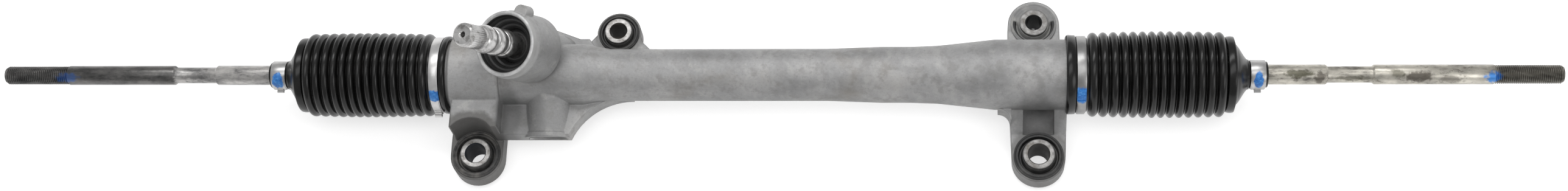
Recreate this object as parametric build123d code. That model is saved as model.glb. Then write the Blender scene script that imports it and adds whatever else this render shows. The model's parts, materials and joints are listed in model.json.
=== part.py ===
from build123d import *
import os
from math import acos, atan, cos, degrees, pi, radians, sin, sqrt, tan

os.makedirs("parts", exist_ok=True)

# Rack and pinion steering gear for a small car.
# Frame: origin at the lower left bolt hole, on the mounting plane under the sleeves.
# +X runs along the rack to the right end, +Z along the bolts, +Y from the lower ears to the rack.
# All sizes are in millimetres.

# ---- layout of the housing ----
rack_y = 59.5              # rack axis, from the lower bolt holes
rack_z = 35.0              # rack axis, above the mounting plane
shoulder_left_x = -18.8    # left end face of the casting, where the boot starts
right_overhang = 23.4      # lower right bolt hole to the right boot shoulder
spigot_length = 17.5       # turned end that the boot is clamped on
spigot_r = 25.8
spigot_bead = 0.8          # bead that keeps the boot on
spigot_bead_length = 3.0
spigot_lip = 1.0           # lead-in at the mouth
end_body_r = 29.6          # left end body
end_body_length = 38.8
gear_body_r = 23.5         # body round the rack under the pinion
gear_body_end_x = 82.0
tube_r = 19.7              # plain tube, left part
tube_start_x = 102.0
tube_flare_x = 181.0       # from the right shoulder back to where the tube begins to widen
tube_flare_length = 40.0
tube_wide_r = 21.1
right_cone_x = 99.0        # from the right shoulder back to the start of the cone
right_cone_r = 21.8
right_cone_blend = 20.0    # stretch before the cone in which the tube eases into it
right_body_r = 26.4
right_body_length = 56.0
edge_break = 1.5           # chamfer of the casting's turned edges
stop_depth = 36.0          # depth of the end bores, down to the rack stops
end_bore_r = 20.6
tunnel_gap = 1.2           # round the rack, between its guide and its bush
bore_mouth = 2.5           # widening of the pinion bore at its open end
bore_mouth_depth = 1.5

# ---- rack ----
rack_r = 13.0
rack_travel = 62.0         # each way from straight ahead
rack_rest = 1.2            # the rack is stored this far right of straight ahead
stop_gap = 0.5             # left at each stop at full lock
bush_length = 28.0
bush_wall = 2.4
bush_inset = 3.0           # bush end to the right stop shoulder

# ---- gear pair: seven tooth helical pinion on a helical rack ----
gear_x = 52.4              # where the pinion crosses the rack
pinion_lean = 18.0         # pinion axis leans towards the left end, degrees
gear_roll = 16.5           # and the whole gear plane is rolled about the rack, degrees
rack_helix = 9.0           # tooth angle on the rack, degrees
pinion_teeth = 7
module = 2.0               # normal module
pressure_angle = 20.0
profile_shift = 0.4
backlash = 0.18            # at the pinion's pitch circle, in the transverse plane
rack_flat = 10.4           # tooth tips, above the rack axis
rack_addendum = 1.0        # times the module
dedendum = 1.25            # times the module
tooth_low = -12.0          # toothed length of the pinion, along its axis
tooth_high = 10.0
tooth_room = 0.8           # housing bore round the pinion's teeth
tooth_chamfer = 1.0
tooth_margin = 17.0        # extra toothed length on the rack at each end of its travel

# ---- pinion shaft, by distance along its axis from the rack crossing ----
journal_r = 5.0            # lower journal
journal_low = -27.5
collar_r = 11.2            # shoulder under the upper bearing
collar_low = 14.5
waist_r = 6.6              # shaft between the teeth and that shoulder
bearing_low = 27.0
bearing_bore_r = 10.0      # 20 x 42 x 12 ball bearing
bearing_outer_r = 21.0
bearing_width = 12.0
bearing_ball_r = 3.175
bearing_balls = 9
race_gap = 0.06            # ball to raceway
race_land = 0.62           # how far the races reach over the balls, times the ball's radius
circlip_width = 1.2
circlip_groove = 0.6
circlip_reach = 1.6        # beyond the bearing's bore
circlip_opening = 5.0
bore_ring_width = 1.75     # snap ring above the outer race
bore_ring_groove = 1.0
bore_ring_reach = 2.2      # inside the bearing's outer radius
bore_ring_opening = 9.0
seal_width = 6.0
seal_depth = 17.0          # below the open end of the boss
rim_height = 65.0          # open end of the pinion boss
rim_wall = 3.45            # round the bearing's bore
boss_ring_step = 1.1       # the boss is this much wider behind its turned rim
boss_neck_r = 16.0         # the boss round the teeth
boss_neck_high = 19.0      # where it widens towards the bearing
boss_wide_low = 24.5
rim_neck = 6.0             # length of the turned rim
rim_edge = 0.8
boss_step = 2.0            # slope between the boss and its rim, and the closed end's edge
boss_pad_r = 5.2           # small cast pad on the side of the boss
boss_pad_length = 11.0
boss_pad_turn = -22.0      # its place round the boss, degrees
boss_pad_out = 1.5         # its axis beyond the rim's radius
seal_journal_r = 9.15
spline_r = 8.25            # end that takes the steering shaft's yoke
spline_length = 23.5
shaft_end = 124.0
ring_pitch = 14.0          # the three turned bands below the splined end
ring_groove = 2.0
ring_groove_depth = 0.9
centre_hole_r = 1.8
centre_hole_depth = 7.0
shaft_chamfer = 1.2
journal_chamfer = 0.6

# ---- lower bearing of the pinion ----
needle_wall = 2.0
needle_length = 12.0
lower_boss_r = 15.0
lower_boss_floor = 3.4

# ---- rack guide ----
guide_r = 13.0
guide_shift = 2.6          # guide axis beyond the pinion crossing, towards the tube
guide_low = 5.0            # how far the guide's saddle reaches past the rack's back, from its axis
guide_end = 31.0
liner_wall = 0.9
spring_wire = 2.0
spring_r = 6.0
spring_turns = 3.5
spring_pocket = 8.0
plug_thread = 1.8          # the plug's thread is this much bigger than the guide's bore, in radius
plug_length = 10.0
plug_hex = 13.0            # across flats
plug_hex_depth = 5.0
plug_recess = 1.6
guide_boss_wall = 2.45     # round the plug
guide_boss_reach = 48.1
guide_lip = 3.8
guide_lip_step = 0.9
o_ring_set_back = 3.0      # groove behind the guide's flat end
o_ring_groove = 2.5
o_ring_depth = 1.8

# ---- ears with rubber bushings ----
ear_low = 6.0
ear_high = 19.5
sleeve_length = 25.0
rubber_proud = 1.4         # flange of the rubber above the ear
rubber_flange = 2.2
rubber_relief = 4.5        # ring-shaped recess in each end of the rubber
rubber_skin = 1.8
sleeve_chamfer = 0.6
lower_span = 425.0         # between the two lower bolt holes
upper_right_set_back = 2.5 # upper right bolt hole, left of the lower one
upper_right_y = 106.7
upper_mid_x = 103.7
upper_mid_y = 100.6
mid_slot_length = 13.8     # end to end
mid_slot_r = 5.2

# ---- left block over the lower left ear ----
block_top = 49.3
block_front_y = 12.0
block_inset = 2.3          # left face of the block behind the shoulder
scallop_r = 19.4           # round cut over the ear that clears the bushing's flange
web_low = 20.0
web_high = 33.0
web_front_y = 12.0
web_corner_x = 73.0        # end of the web's straight front edge
web_arc_r = 50.0
web_arc_x = 119.0
web_arc_reach = 16.0       # from the rack axis to the nearest point of the arc
gusset_high = 25.0
gusset_foot = 5.0          # how far behind the rack axis the ear plates begin
mid_gusset_left = ((-49.3, 0.8), (-29.0, -7.0), (-21.8, -7.0), (-14.5, 1.6))   # from the bolt hole
mid_gusset_right = ((15.2, 1.6), (18.9, -7.8), (25.4, -14.1))

# ---- right ear arms ----
lower_arm_width = 42.5     # where it leaves the body
upper_arm_width = 39.6
arm_high = 33.0
upper_arm_high = 27.0
arm_root = 0.75            # the arms leave the body at this share of its radius
arm_fillet = 9.0
pocket_width = 23.0
pocket_floor = 15.0
pocket_reach = 17.5        # from the bolt hole to the pocket's near end

# ---- tie rods: ball joint, then distances from the ball centre ----
washer_width = 2.0
washer_r = 17.0
washer_tab = 5.0
washer_tab_width = 9.0
washer_tab_wall = 2.6
ball_offset = 22.0         # ball centre beyond the rack end
ball_r = 12.5
seat_cover = 0.75          # how far the seat wraps past the ball's centre, times its radius
seat_wall = 1.7
socket_wall = 3.7          # round the seat
socket_length = 36.0
socket_stud_r = 8.0
socket_stud_length = 15.0
socket_edge = 1.5
socket_roll = 4.0          # how far the socket's mouth is rolled in
socket_roll_length = 9.0
swing = 16.0               # half angle of the ball joint, degrees
swing_clear = 0.5
rod_neck_r = 5.75
rod_shank_start = 31.0
rod_inner_r = 7.45
boot_end = 70.7            # ball centre to the middle of the small clamp
rod_inner_length = 43.0    # small clamp's outer edge to the wrench neck
wrench_neck_r = 6.1
wrench_neck_length = 33.0
rod_body_r = 7.35
rod_body_length = 84.0
thread_r = 7.0             # M14 x 1.5
thread_length = 54.0
thread_lead = 1.5          # chamfer at the thread's end
rod_step = 1.2             # slopes at the two ends of the wrench neck

# ---- boots and clamps ----
boot_wall = 1.3
boot_crest_r = 32.0
boot_root_r = 23.5
boot_end_crest_r = 28.6    # last small convolution
boot_lip = 1.4             # bead at the mouth
boot_set_back = 1.6        # mouth of the boot to the shoulder
cuff_wall = 2.0
cuff_length = 15.0
boot_cone_length = 7.0
boot_convolutions = 15
boot_pitch_end = 1.25      # end convolutions are this much wider than the middle ones
boot_start = 2.0           # big clamp's edge to the first convolution
boot_crest_flat = 1.0
boot_crest_wall = 1.3      # wall at the crests, times boot_wall
big_clamp_width = 6.8
big_clamp_wall = 0.9
big_clamp_inset = {"left": 10.4, "right": 7.6}     # middle of the clamp to the boot shoulder
small_clamp_width = 11.0
small_clamp_wall = 0.8
clamp_ear_height = 3.2
clamp_ear_width = 8.0

# ---- clearances ----
past = 1.0                 # how far a cutter runs past the face that it opens
overlap = 4.0              # how far joined shapes of the casting reach into each other
ring_gap = 0.03            # snap ring to each side of its groove
run_fit = 0.05             # shaft in a bearing or bush, and slide fits
seat_fit = 0.05            # pieces pressed or clamped together
boot_fit = 0.12            # boot on the housing's bead
soft_gap = 0.3             # rubber next to a piece that moves away from it

# ---- derived places ----
shoulder_right_x = lower_span + right_overhang
upper_right_x = lower_span - upper_right_set_back
mouth_left_x = shoulder_left_x - spigot_length
mouth_right_x = shoulder_right_x + spigot_length
stop_left_x = mouth_left_x + stop_depth
stop_right_x = mouth_right_x - stop_depth
rack_left_x = stop_left_x - stop_gap - (rack_travel - rack_rest)
rack_right_x = stop_right_x + stop_gap + rack_travel + rack_rest

across = Vector(0, cos(radians(gear_roll)), sin(radians(gear_roll)))       # rack axis to pinion axis
face_on = Vector(0, -sin(radians(gear_roll)), cos(radians(gear_roll)))     # along the tooth flat
pinion_axis = face_on * cos(radians(pinion_lean)) - Vector(1, 0, 0) * sin(radians(pinion_lean))
pinion_helix = pinion_lean + rack_helix
pitch_r = pinion_teeth * module / (2 * cos(radians(pinion_helix)))
tip_r = pitch_r + module * (1 + profile_shift)
root_r = pitch_r - module * (dedendum - profile_shift)
datum_height = rack_flat - rack_addendum * module          # rack's datum plane, above its axis
gear_centre = datum_height + pitch_r + profile_shift * module
rack_mid = Vector(gear_x, rack_y, rack_z)
pinion_mid = rack_mid + across * gear_centre

tunnel_r = rack_r + tunnel_gap
socket_r = ball_r + seat_wall + 2 * run_fit + socket_wall
plug_r = guide_r + plug_thread
guide_boss_r = plug_r + seat_fit + guide_boss_wall

bearing_high = bearing_low + bearing_width
rim_r = bearing_outer_r + seat_fit + rim_wall
boss_ring_r = rim_r + boss_ring_step
bearing_pitch_r = (bearing_bore_r + bearing_outer_r) / 2
seal_high = rim_height - seal_depth
seal_low = seal_high - seal_width
journal_high = journal_low + needle_length
boss_floor = journal_low - 0.7
ring_top = shaft_end - spline_length

# Each ear: name, place, sleeve radius, bore radius, radius of the ear's hole, outer radius of the ear.
ears = {
    "lower_left": (0.0, 0.0, 11.4, 7.7, 16.2, 20.0),
    "lower_right": (lower_span, 0.0, 11.7, 7.7, 16.4, 19.9),
    "upper_right": (upper_right_x, upper_right_y, 10.6, 5.5, 15.0, 19.5),
    "upper_middle": (upper_mid_x, upper_mid_y, 10.2, 5.5, 13.6, 17.0),
}


# ---- helpers ----
def along_rack(x):
    """Plane square to the rack at x; its local z runs along +X."""
    return Plane(origin=(x, rack_y, rack_z), x_dir=(0, 1, 0), z_dir=(1, 0, 0))


def rod(plane, low, high, r):
    """Round bar from low to high along a plane's z."""
    return plane * Pos(0, 0, low) * Cylinder(r, high - low, align=(Align.CENTER, Align.CENTER, Align.MIN))


def turned(plane, outline):
    """Solid of revolution about a plane's z from (z, r) points."""
    points = [(r, z) for z, r in outline]
    profile = Plane.XZ * make_face(Polyline(*points, close=True))
    return plane * revolve(profile, Axis.Z)


pinion_plane = Plane(origin=pinion_mid, x_dir=across, z_dir=pinion_axis)
guide_mid = rack_mid + Vector(guide_shift, 0, 0)
guide_plane = Plane(origin=guide_mid, x_dir=(1, 0, 0), z_dir=across * -1)
tooth_plane = Plane(origin=rack_mid + across * datum_height, x_dir=(1, 0, 0), z_dir=across)


def upright(x, y, low, high, r):
    """Round bar along the bolt direction."""
    return Pos(x, y, low) * Cylinder(r, high - low, align=(Align.CENTER, Align.CENTER, Align.MIN))


def slab(outline, low, high):
    """Plate of a closed sketch between two heights."""
    return Pos(0, 0, low) * extrude(outline, high - low)


# ---- housing ----
def spigot_outline():
    """Turned end with its bead, as (distance beyond the shoulder, radius), from the shoulder outwards."""
    bead_r = spigot_r + spigot_bead
    bead_low = spigot_length - spigot_bead_length
    return [(0, right_body_r - edge_break), (0, spigot_r), (bead_low - spigot_bead, spigot_r), (bead_low, bead_r),
            (spigot_length - spigot_lip, bead_r), (spigot_length, spigot_r - spigot_lip), (spigot_length, 0)]


def housing_body():
    """Turned outside of the casting, from mouth to mouth."""
    left_end = shoulder_left_x + end_body_length
    right_end = shoulder_right_x - right_body_length
    left_spigot = [(shoulder_left_x - z, r) for z, r in spigot_outline()[1:]]
    right_spigot = [(shoulder_right_x + z, r) for z, r in spigot_outline()]
    outline = left_spigot[::-1] + [
        (shoulder_left_x, end_body_r - edge_break),
        (shoulder_left_x + edge_break, end_body_r),
        (left_end - edge_break, end_body_r),
        (left_end, end_body_r - edge_break),
        (left_end, gear_body_r),
        (gear_body_end_x, gear_body_r),
        (tube_start_x, tube_r),
        (shoulder_right_x - tube_flare_x, tube_r),
        (shoulder_right_x - tube_flare_x + tube_flare_length, tube_wide_r),
        (shoulder_right_x - right_cone_x - right_cone_blend, tube_wide_r),
        (shoulder_right_x - right_cone_x, right_cone_r),
        (right_end, right_body_r),
        (shoulder_right_x - edge_break, right_body_r),
    ] + right_spigot
    return turned(along_rack(0), outline)


def pinion_boss():
    """Open cup for the pinion's bearing and seal, and the closed cup of the lower bearing."""
    floor = boss_floor - lower_boss_floor
    outline = [
        (floor, 0),
        (floor, lower_boss_r - boss_step),
        (floor + boss_step, lower_boss_r),
        (journal_high, lower_boss_r),
        (tooth_low, boss_neck_r),
        (boss_neck_high, boss_neck_r),
        (boss_wide_low, boss_ring_r),
        (rim_height - rim_neck - boss_step, boss_ring_r),
        (rim_height - rim_neck, rim_r),
        (rim_height - rim_edge, rim_r),
        (rim_height, rim_r - rim_edge),
        (rim_height, 0),
    ]
    cup = turned(pinion_plane, outline)
    pad_high = rim_height - rim_neck
    pad = pinion_plane * Rot(0, 0, boss_pad_turn) * Pos(rim_r + boss_pad_out, 0, 0) * rod(
        Plane.XY, pad_high - boss_pad_length, pad_high, boss_pad_r)
    return cup + pad


def guide_boss():
    """Cylinder round the rack guide, with a lip at its open end."""
    boss = rod(guide_plane, 0, guide_boss_reach, guide_boss_r)
    lip = rod(guide_plane, guide_boss_reach - guide_lip, guide_boss_reach, guide_boss_r + guide_lip_step)
    return boss + lip


def left_block():
    """Raised block that joins the left end body to the lower left ear."""
    x, y, _, _, _, ear_r = ears["lower_left"]
    block_left = shoulder_left_x + block_inset
    block_right = shoulder_left_x + end_body_length
    block = Pos(block_left, block_front_y, ear_low) * Box(
        block_right - block_left, rack_y - block_front_y, block_top - ear_low,
        align=(Align.MIN, Align.MIN, Align.MIN))
    block = fillet(block.edges().filter_by(Axis.Y).group_by(Axis.Z)[-1], edge_break)
    stem = Pos(x, y, ear_low) * Box(2 * ear_r, block_front_y + 2 * overlap, ear_high - ear_low,
                                    align=(Align.CENTER, Align.MIN, Align.MIN))
    ear = upright(x, y, ear_low, ear_high, ear_r)
    scallop = upright(x, y, ear_high, block_top + past, scallop_r)
    return block + stem + ear - scallop


def front_web():
    """Web between the left block, the guide boss and the tube, with its large concave edge."""
    left = shoulder_left_x + end_body_length - overlap
    arc_y = rack_y - web_arc_reach - web_arc_r
    field = Pos(left, web_front_y) * Rectangle(web_arc_x - left, rack_y - web_front_y,
                                               align=(Align.MIN, Align.MIN))
    bite = Pos(web_arc_x, arc_y) * Circle(web_arc_r)
    beyond = Pos(web_corner_x, arc_y) * Rectangle(web_arc_x, web_front_y - arc_y + 0.1,
                                                  align=(Align.MIN, Align.MIN))
    return slab(field - bite - beyond, web_low, web_high)


def middle_ear():
    """Upper middle ear and the gusset that ties it to the pinion boss and the tube."""
    x, y, _, _, _, ear_r = ears["upper_middle"]
    foot = rack_y + gusset_foot
    left = [(x + dx, y + dy) for dx, dy in mid_gusset_left]
    right = [(x + dx, y + dy) for dx, dy in mid_gusset_right]
    plate = make_face(Polyline(*left, *right, (right[-1][0], foot), (left[0][0], foot), close=True))
    ear = slab(plate + Pos(x, y) * Circle(ear_r), ear_low, ear_high)
    strap = make_face(Polyline(*left[:3], (x, foot), (left[0][0], foot), close=True))
    return ear + slab(strap, ear_high, gusset_high)


def ear_arm(name, width, high):
    """Arm from the right end body to an ear, widening and rising towards the body."""
    x, y, _, _, _, ear_r = ears[name]
    way = 1 if y < rack_y else -1
    near = y + way * pocket_reach
    root = rack_y - way * right_body_r * arm_root
    plan = make_face(Polyline((x - ear_r, y), (x + ear_r, y), (x + width / 2, root), (x + width / 2, rack_y),
                              (x - width / 2, rack_y), (x - width / 2, root), close=True))
    side = make_face(Polyline((y, ear_low), (y, ear_high), (near, ear_high), (root, high), (rack_y, high),
                              (rack_y, ear_low), close=True))
    wedge = Plane(origin=(x - width, 0, 0), x_dir=(0, 1, 0), z_dir=(1, 0, 0)) * extrude(side, 2 * width)
    return slab(plan, ear_low, high) & wedge


def right_arms():
    """Two arms of the right end body, each ending in a round ear; the lower one has a pocket."""
    lx, ly, _, _, _, lower_r = ears["lower_right"]
    ux, uy, _, _, _, upper_r = ears["upper_right"]
    lower = ear_arm("lower_right", lower_arm_width, arm_high)
    lower += slab(Pos(lx, ly) * Circle(lower_r), ear_low, ear_high)
    lower -= Pos(lx, ly + pocket_reach, pocket_floor) * Box(
        pocket_width, rack_y - right_body_r * arm_root - ly - pocket_reach, arm_high,
        align=(Align.CENTER, Align.MIN, Align.MIN))
    upper = ear_arm("upper_right", upper_arm_width, upper_arm_high)
    upper += slab(Pos(ux, uy) * Circle(upper_r), ear_low, ear_high)
    corner_x = lx - lower_arm_width / 2
    corner_y = rack_y - right_body_r
    corner = Pos(corner_x + past, corner_y + overlap) * Rectangle(
        arm_fillet + past, arm_fillet + overlap, align=(Align.MAX, Align.MAX))
    corner -= Pos(corner_x - arm_fillet, corner_y - arm_fillet) * Circle(arm_fillet)
    return lower + upper + slab(corner, ear_high, arm_high)


def housing_bores():
    """Everything that is machined out of the casting."""
    rack = along_rack(0)
    cuts = rod(rack, stop_left_x, stop_right_x, tunnel_r)
    cuts += rod(rack, mouth_left_x - past, stop_left_x, end_bore_r)
    cuts += rod(rack, stop_right_x, mouth_right_x + past, end_bore_r)
    cuts += rod(rack, stop_right_x - bush_inset - bush_length, stop_right_x,
                rack_r + run_fit + bush_wall + seat_fit)
    cuts += turned(pinion_plane, [
        (boss_floor, 0),
        (boss_floor, journal_r + run_fit + needle_wall + seat_fit),
        (journal_high, journal_r + run_fit + needle_wall + seat_fit),
        (journal_high, tip_r + tooth_room),
        (bearing_low, tip_r + tooth_room),
        (bearing_low, bearing_outer_r + seat_fit),
        (rim_height - bore_mouth_depth, bearing_outer_r + seat_fit),
        (rim_height + past, bearing_outer_r + seat_fit + bore_mouth),
        (rim_height + past, 0),
    ])
    cuts += rod(pinion_plane, bearing_high, bearing_high + bore_ring_width, bearing_outer_r + bore_ring_groove)
    cuts += rod(guide_plane, 0, guide_boss_reach + past, guide_r + run_fit)
    cuts += rod(guide_plane, guide_boss_reach - plug_recess - plug_length, guide_boss_reach + past,
                plug_r + seat_fit)
    for x, y, _, _, hole_r, _ in ears.values():
        cuts += upright(x, y, 0, ear_high + past, hole_r)
    return cuts


def rack_housing():
    casting = housing_body() + pinion_boss() + guide_boss() + left_block()
    casting += front_web() + middle_ear() + right_arms()
    return casting - housing_bores()


# ---- gear pair ----
def involute_angle(r, base_r):
    """Polar angle of an involute of base_r at radius r."""
    a = acos(base_r / r)
    return tan(a) - a


def tooth_gap():
    """One tooth space of the pinion in its transverse plane, centred on +x, a little past the tip circle."""
    transverse = atan(tan(radians(pressure_angle)) / cos(radians(pinion_helix)))
    base_r = pitch_r * cos(transverse)
    pitch_module = 2 * pitch_r / pinion_teeth
    thickness = pi * pitch_module / 2 + 2 * profile_shift * module * tan(transverse) - backlash
    half_at_pitch = thickness / (2 * pitch_r)
    outer_r = tip_r + 0.2
    clear_r = 1.3 * tip_r

    def half_gap(r):
        flank = half_at_pitch + involute_angle(pitch_r, base_r) - involute_angle(r, base_r)
        return pi / pinion_teeth - flank

    steps = 5
    radii = [base_r + 0.001 + (outer_r - base_r - 0.001) * i / steps for i in range(steps + 1)]
    upper = [(r * cos(half_gap(r)), r * sin(half_gap(r))) for r in radii]
    lower = [(x, -y) for x, y in upper]
    foot = half_gap(radii[0])
    foot_upper = (root_r * cos(foot), root_r * sin(foot))
    foot_lower = (foot_upper[0], -foot_upper[1])
    mouth = Polyline(upper[-1], (clear_r, upper[-1][1]), (clear_r, lower[-1][1]), lower[-1])
    edge = Spline(*upper) + mouth + Spline(*lower) + Line(lower[0], foot_lower)
    edge += ThreePointArc(foot_lower, (root_r, 0), foot_upper) + Line(foot_upper, upper[0])
    return make_face(edge).face()


def pinion_blank():
    """Turned shape of the pinion before its teeth are cut."""
    groove = ring_groove / 2
    outline = [
        (journal_low, 0),
        (journal_low, journal_r - journal_chamfer),
        (journal_low + journal_chamfer, journal_r),
        (journal_high + 0.5, journal_r),
        (journal_high + 0.5, root_r - 0.3),
        (tooth_low, root_r - 0.3),
        (tooth_low, tip_r - tooth_chamfer),
        (tooth_low + tooth_chamfer, tip_r),
        (tooth_high - tooth_chamfer, tip_r),
        (tooth_high, tip_r - tooth_chamfer),
        (tooth_high, waist_r),
        (collar_low, waist_r),
        (collar_low + 1.0, collar_r),
        (bearing_low, collar_r),
        (bearing_low, bearing_bore_r - seat_fit),
        (bearing_high, bearing_bore_r - seat_fit),
        (bearing_high, bearing_bore_r - circlip_groove),
        (bearing_high + circlip_width, bearing_bore_r - circlip_groove),
        (bearing_high + circlip_width, seal_journal_r),
    ]
    for i in (2, 1):
        z = ring_top - i * ring_pitch
        outline += [(z - groove, seal_journal_r), (z - groove / 2, seal_journal_r - ring_groove_depth),
                    (z + groove / 2, seal_journal_r - ring_groove_depth), (z + groove, seal_journal_r)]
    outline += [
        (ring_top - shaft_chamfer, seal_journal_r),
        (ring_top, spline_r),
        (shaft_end - shaft_chamfer, spline_r),
        (shaft_end, spline_r - shaft_chamfer),
        (shaft_end, centre_hole_r + 0.8),
        (shaft_end - 1.0, centre_hole_r),
        (shaft_end - centre_hole_depth, centre_hole_r),
        (shaft_end - centre_hole_depth - 1.5, 0),
    ]
    return turned(Plane.XY, outline)


def pinion_shaft():
    """Pinion with helical involute teeth, in place in the housing."""
    run_out = 0.6
    length = tooth_high - tooth_low + run_out
    twist = degrees(length * tan(radians(pinion_helix)) / pitch_r)
    start = degrees(tooth_low * tan(radians(pinion_helix)) / pitch_r)
    gap = Solid.extrude_linear_with_rotation(tooth_gap(), (0, 0, 0), (0, 0, length), twist)
    shaft = pinion_blank()
    for i in range(pinion_teeth):
        angle = 180 + start + (i + 0.5) * 360 / pinion_teeth
        shaft -= Rot(0, 0, angle) * Pos(0, 0, tooth_low - run_out) * Rot(
            0, 0, -degrees(run_out * tan(radians(pinion_helix)) / pitch_r)) * gap
    return pinion_plane * shaft


def rack_tooth_groove():
    """Cutter for one tooth space of the rack, along the tooth, centred on the crossing."""
    rise = tan(radians(pressure_angle))
    top = rack_addendum * module + 0.4
    bottom = dedendum * module
    half = pi * module / 4
    space = Polyline((half + top * rise, top), (-half - top * rise, top),
                     (-half + bottom * rise, -bottom), (half - bottom * rise, -bottom), close=True)
    length = 4 * rack_r
    cutter = extrude(Plane.XZ * make_face(space), length / 2, both=True)
    return tooth_plane * Rot(0, 0, rack_helix) * cutter


def rack_bar():
    """Round bar with a toothed flat; threaded holes at both ends take the ball joints."""
    bar = rod(along_rack(0), rack_left_x, rack_right_x, rack_r)
    bar = chamfer(bar.edges().filter_by(GeomType.CIRCLE), 0.8)
    pitch = pi * module / cos(radians(rack_helix))
    low = gear_x - (rack_travel - rack_rest) - tooth_margin
    high = gear_x + rack_travel + rack_rest + tooth_margin
    cap = Pos((low + high) / 2 - gear_x, 0, rack_addendum * module) * Box(
        high - low, 4 * rack_r, rack_r, align=(Align.CENTER, Align.CENTER, Align.MIN))
    bar -= tooth_plane * cap
    groove = rack_tooth_groove()
    first = -int((gear_x - low - pitch / 2) / pitch)
    last = int((high - gear_x - pitch / 2) / pitch)
    grooves = [Pos(i * pitch, 0, 0) * groove for i in range(first, last + 1)]
    bar -= grooves
    hole = socket_stud_r + seat_fit
    bar -= rod(along_rack(0), rack_left_x - past, rack_left_x + socket_stud_length + 2, hole)
    bar -= rod(along_rack(0), rack_right_x - socket_stud_length - 2, rack_right_x + past, hole)
    return bar


# ---- pinion bearings and seal ----
def ball_ring(r):
    """Ring of balls at the middle of the upper bearing."""
    mid = (bearing_low + bearing_high) / 2
    return [pinion_plane * Rot(0, 0, i * 360 / bearing_balls) * Pos(bearing_pitch_r, 0, mid) * Sphere(r)
            for i in range(bearing_balls)]


def raceway(extra):
    mid = (bearing_low + bearing_high) / 2
    return pinion_plane * Pos(0, 0, mid) * Torus(bearing_pitch_r, bearing_ball_r + extra)


def bearing_ring(inner, outer):
    ring = rod(pinion_plane, bearing_low, bearing_high, outer) - rod(
        pinion_plane, bearing_low - past, bearing_high + past, inner)
    return ring - raceway(race_gap)


def bearing_outer_race():
    return bearing_ring(bearing_pitch_r + bearing_ball_r * race_land, bearing_outer_r)


def bearing_inner_race():
    return bearing_ring(bearing_bore_r, bearing_pitch_r - bearing_ball_r * race_land)


def bearing_cage():
    mid = (bearing_low + bearing_high) / 2
    half = bearing_ball_r + 0.7
    web = bearing_ball_r * race_land - 0.5
    ring = rod(pinion_plane, mid - half, mid + half, bearing_pitch_r + web)
    ring -= rod(pinion_plane, mid - half - past, mid + half + past, bearing_pitch_r - web)
    pocket = Rot(0, 90, 0) * Cylinder(bearing_ball_r + race_gap, 6 * web)
    for i in range(bearing_balls):
        ring -= pinion_plane * Rot(0, 0, i * 360 / bearing_balls) * Pos(bearing_pitch_r, 0, mid) * pocket
    return ring


def bearing_balls_node():
    return Compound(children=ball_ring(bearing_ball_r))


def pinion_lower_bearing():
    outer = journal_r + run_fit + needle_wall
    return rod(pinion_plane, journal_low, journal_high, outer) - rod(
        pinion_plane, journal_low - past, journal_high + past, journal_r + run_fit)


def shaft_circlip():
    low = bearing_high + ring_gap
    high = bearing_high + circlip_width - ring_gap
    ring = rod(pinion_plane, low, high, bearing_bore_r + circlip_reach)
    ring -= rod(pinion_plane, low - past, high + past, bearing_bore_r - circlip_groove + seat_fit)
    gap = pinion_plane * Pos(bearing_bore_r, 0, low - past) * Box(
        4 * circlip_reach, circlip_opening, circlip_width + 2 * past, align=(Align.CENTER, Align.CENTER, Align.MIN))
    return ring - gap


def bore_snap_ring():
    low = bearing_high + ring_gap
    high = bearing_high + bore_ring_width - ring_gap
    ring = rod(pinion_plane, low, high, bearing_outer_r + bore_ring_groove - seat_fit)
    ring -= rod(pinion_plane, low - past, high + past, bearing_outer_r - bore_ring_reach)
    gap = pinion_plane * Pos(-bearing_outer_r, 0, low - past) * Box(
        4 * bore_ring_reach, bore_ring_opening, bore_ring_width + 2 * past,
        align=(Align.CENTER, Align.CENTER, Align.MIN))
    return ring - gap


def pinion_seal():
    """Rubber oil seal with a raised dust lip round the shaft."""
    low, high = seal_low, seal_high
    inner = seal_journal_r + run_fit
    outer = bearing_outer_r
    outline = [
        (low, inner + 4), (low, outer), (high, outer), (high, outer - 3),
        (high - 1.6, outer - 4), (high - 1.6, inner + 4.5), (high + 1.2, inner + 1.4),
        (high + 1.2, inner + 0.1), (high - 0.2, inner), (low + 1.2, inner), (low + 1.2, inner + 4),
    ]
    return turned(pinion_plane, outline)


# ---- rack guide ----
def saddle(r):
    return rod(along_rack(0), guide_mid.X - 3 * guide_r, guide_mid.X + 3 * guide_r, r)


def rack_guide():
    body = rod(guide_plane, guide_low, guide_end, guide_r)
    body -= saddle(rack_r + run_fit + liner_wall + seat_fit)
    body -= rod(guide_plane, guide_end - spring_pocket, guide_end + past, spring_r + spring_wire)
    groove_high = guide_end - o_ring_set_back
    groove_low = groove_high - o_ring_groove
    groove = rod(guide_plane, groove_low, groove_high, guide_r + past)
    groove -= rod(guide_plane, groove_low - past, groove_high + past, guide_r - o_ring_depth)
    return body - groove


def guide_liner():
    shell = saddle(rack_r + run_fit + liner_wall) - saddle(rack_r + run_fit)
    return shell & rod(guide_plane, guide_low + 0.4, guide_end, guide_r - 0.6)


def guide_o_ring():
    mid = guide_end - o_ring_set_back - o_ring_groove / 2
    return guide_plane * Pos(0, 0, mid) * Torus(guide_r - o_ring_depth / 2 + seat_fit, o_ring_depth / 2 - seat_fit)


def guide_spring():
    """Coil spring between the guide and its plug."""
    low = guide_end - spring_pocket + 0.2
    high = guide_boss_reach - plug_recess - plug_length - 0.02
    pitch = (high - low - spring_wire) / spring_turns
    path = Helix(pitch, high - low - spring_wire, spring_r)
    wire = sweep((Plane(origin=path @ 0, z_dir=path % 0)) * Circle(spring_wire / 2), path, is_frenet=True)
    return guide_plane * Pos(0, 0, low + spring_wire / 2) * wire


def guide_plug():
    high = guide_boss_reach - plug_recess
    low = high - plug_length
    plug = rod(guide_plane, low, high, plug_r)
    socket = extrude(RegularPolygon(plug_hex / 2, 6, major_radius=False), plug_hex_depth + past)
    return plug - guide_plane * Pos(0, 0, high - plug_hex_depth) * socket


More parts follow.
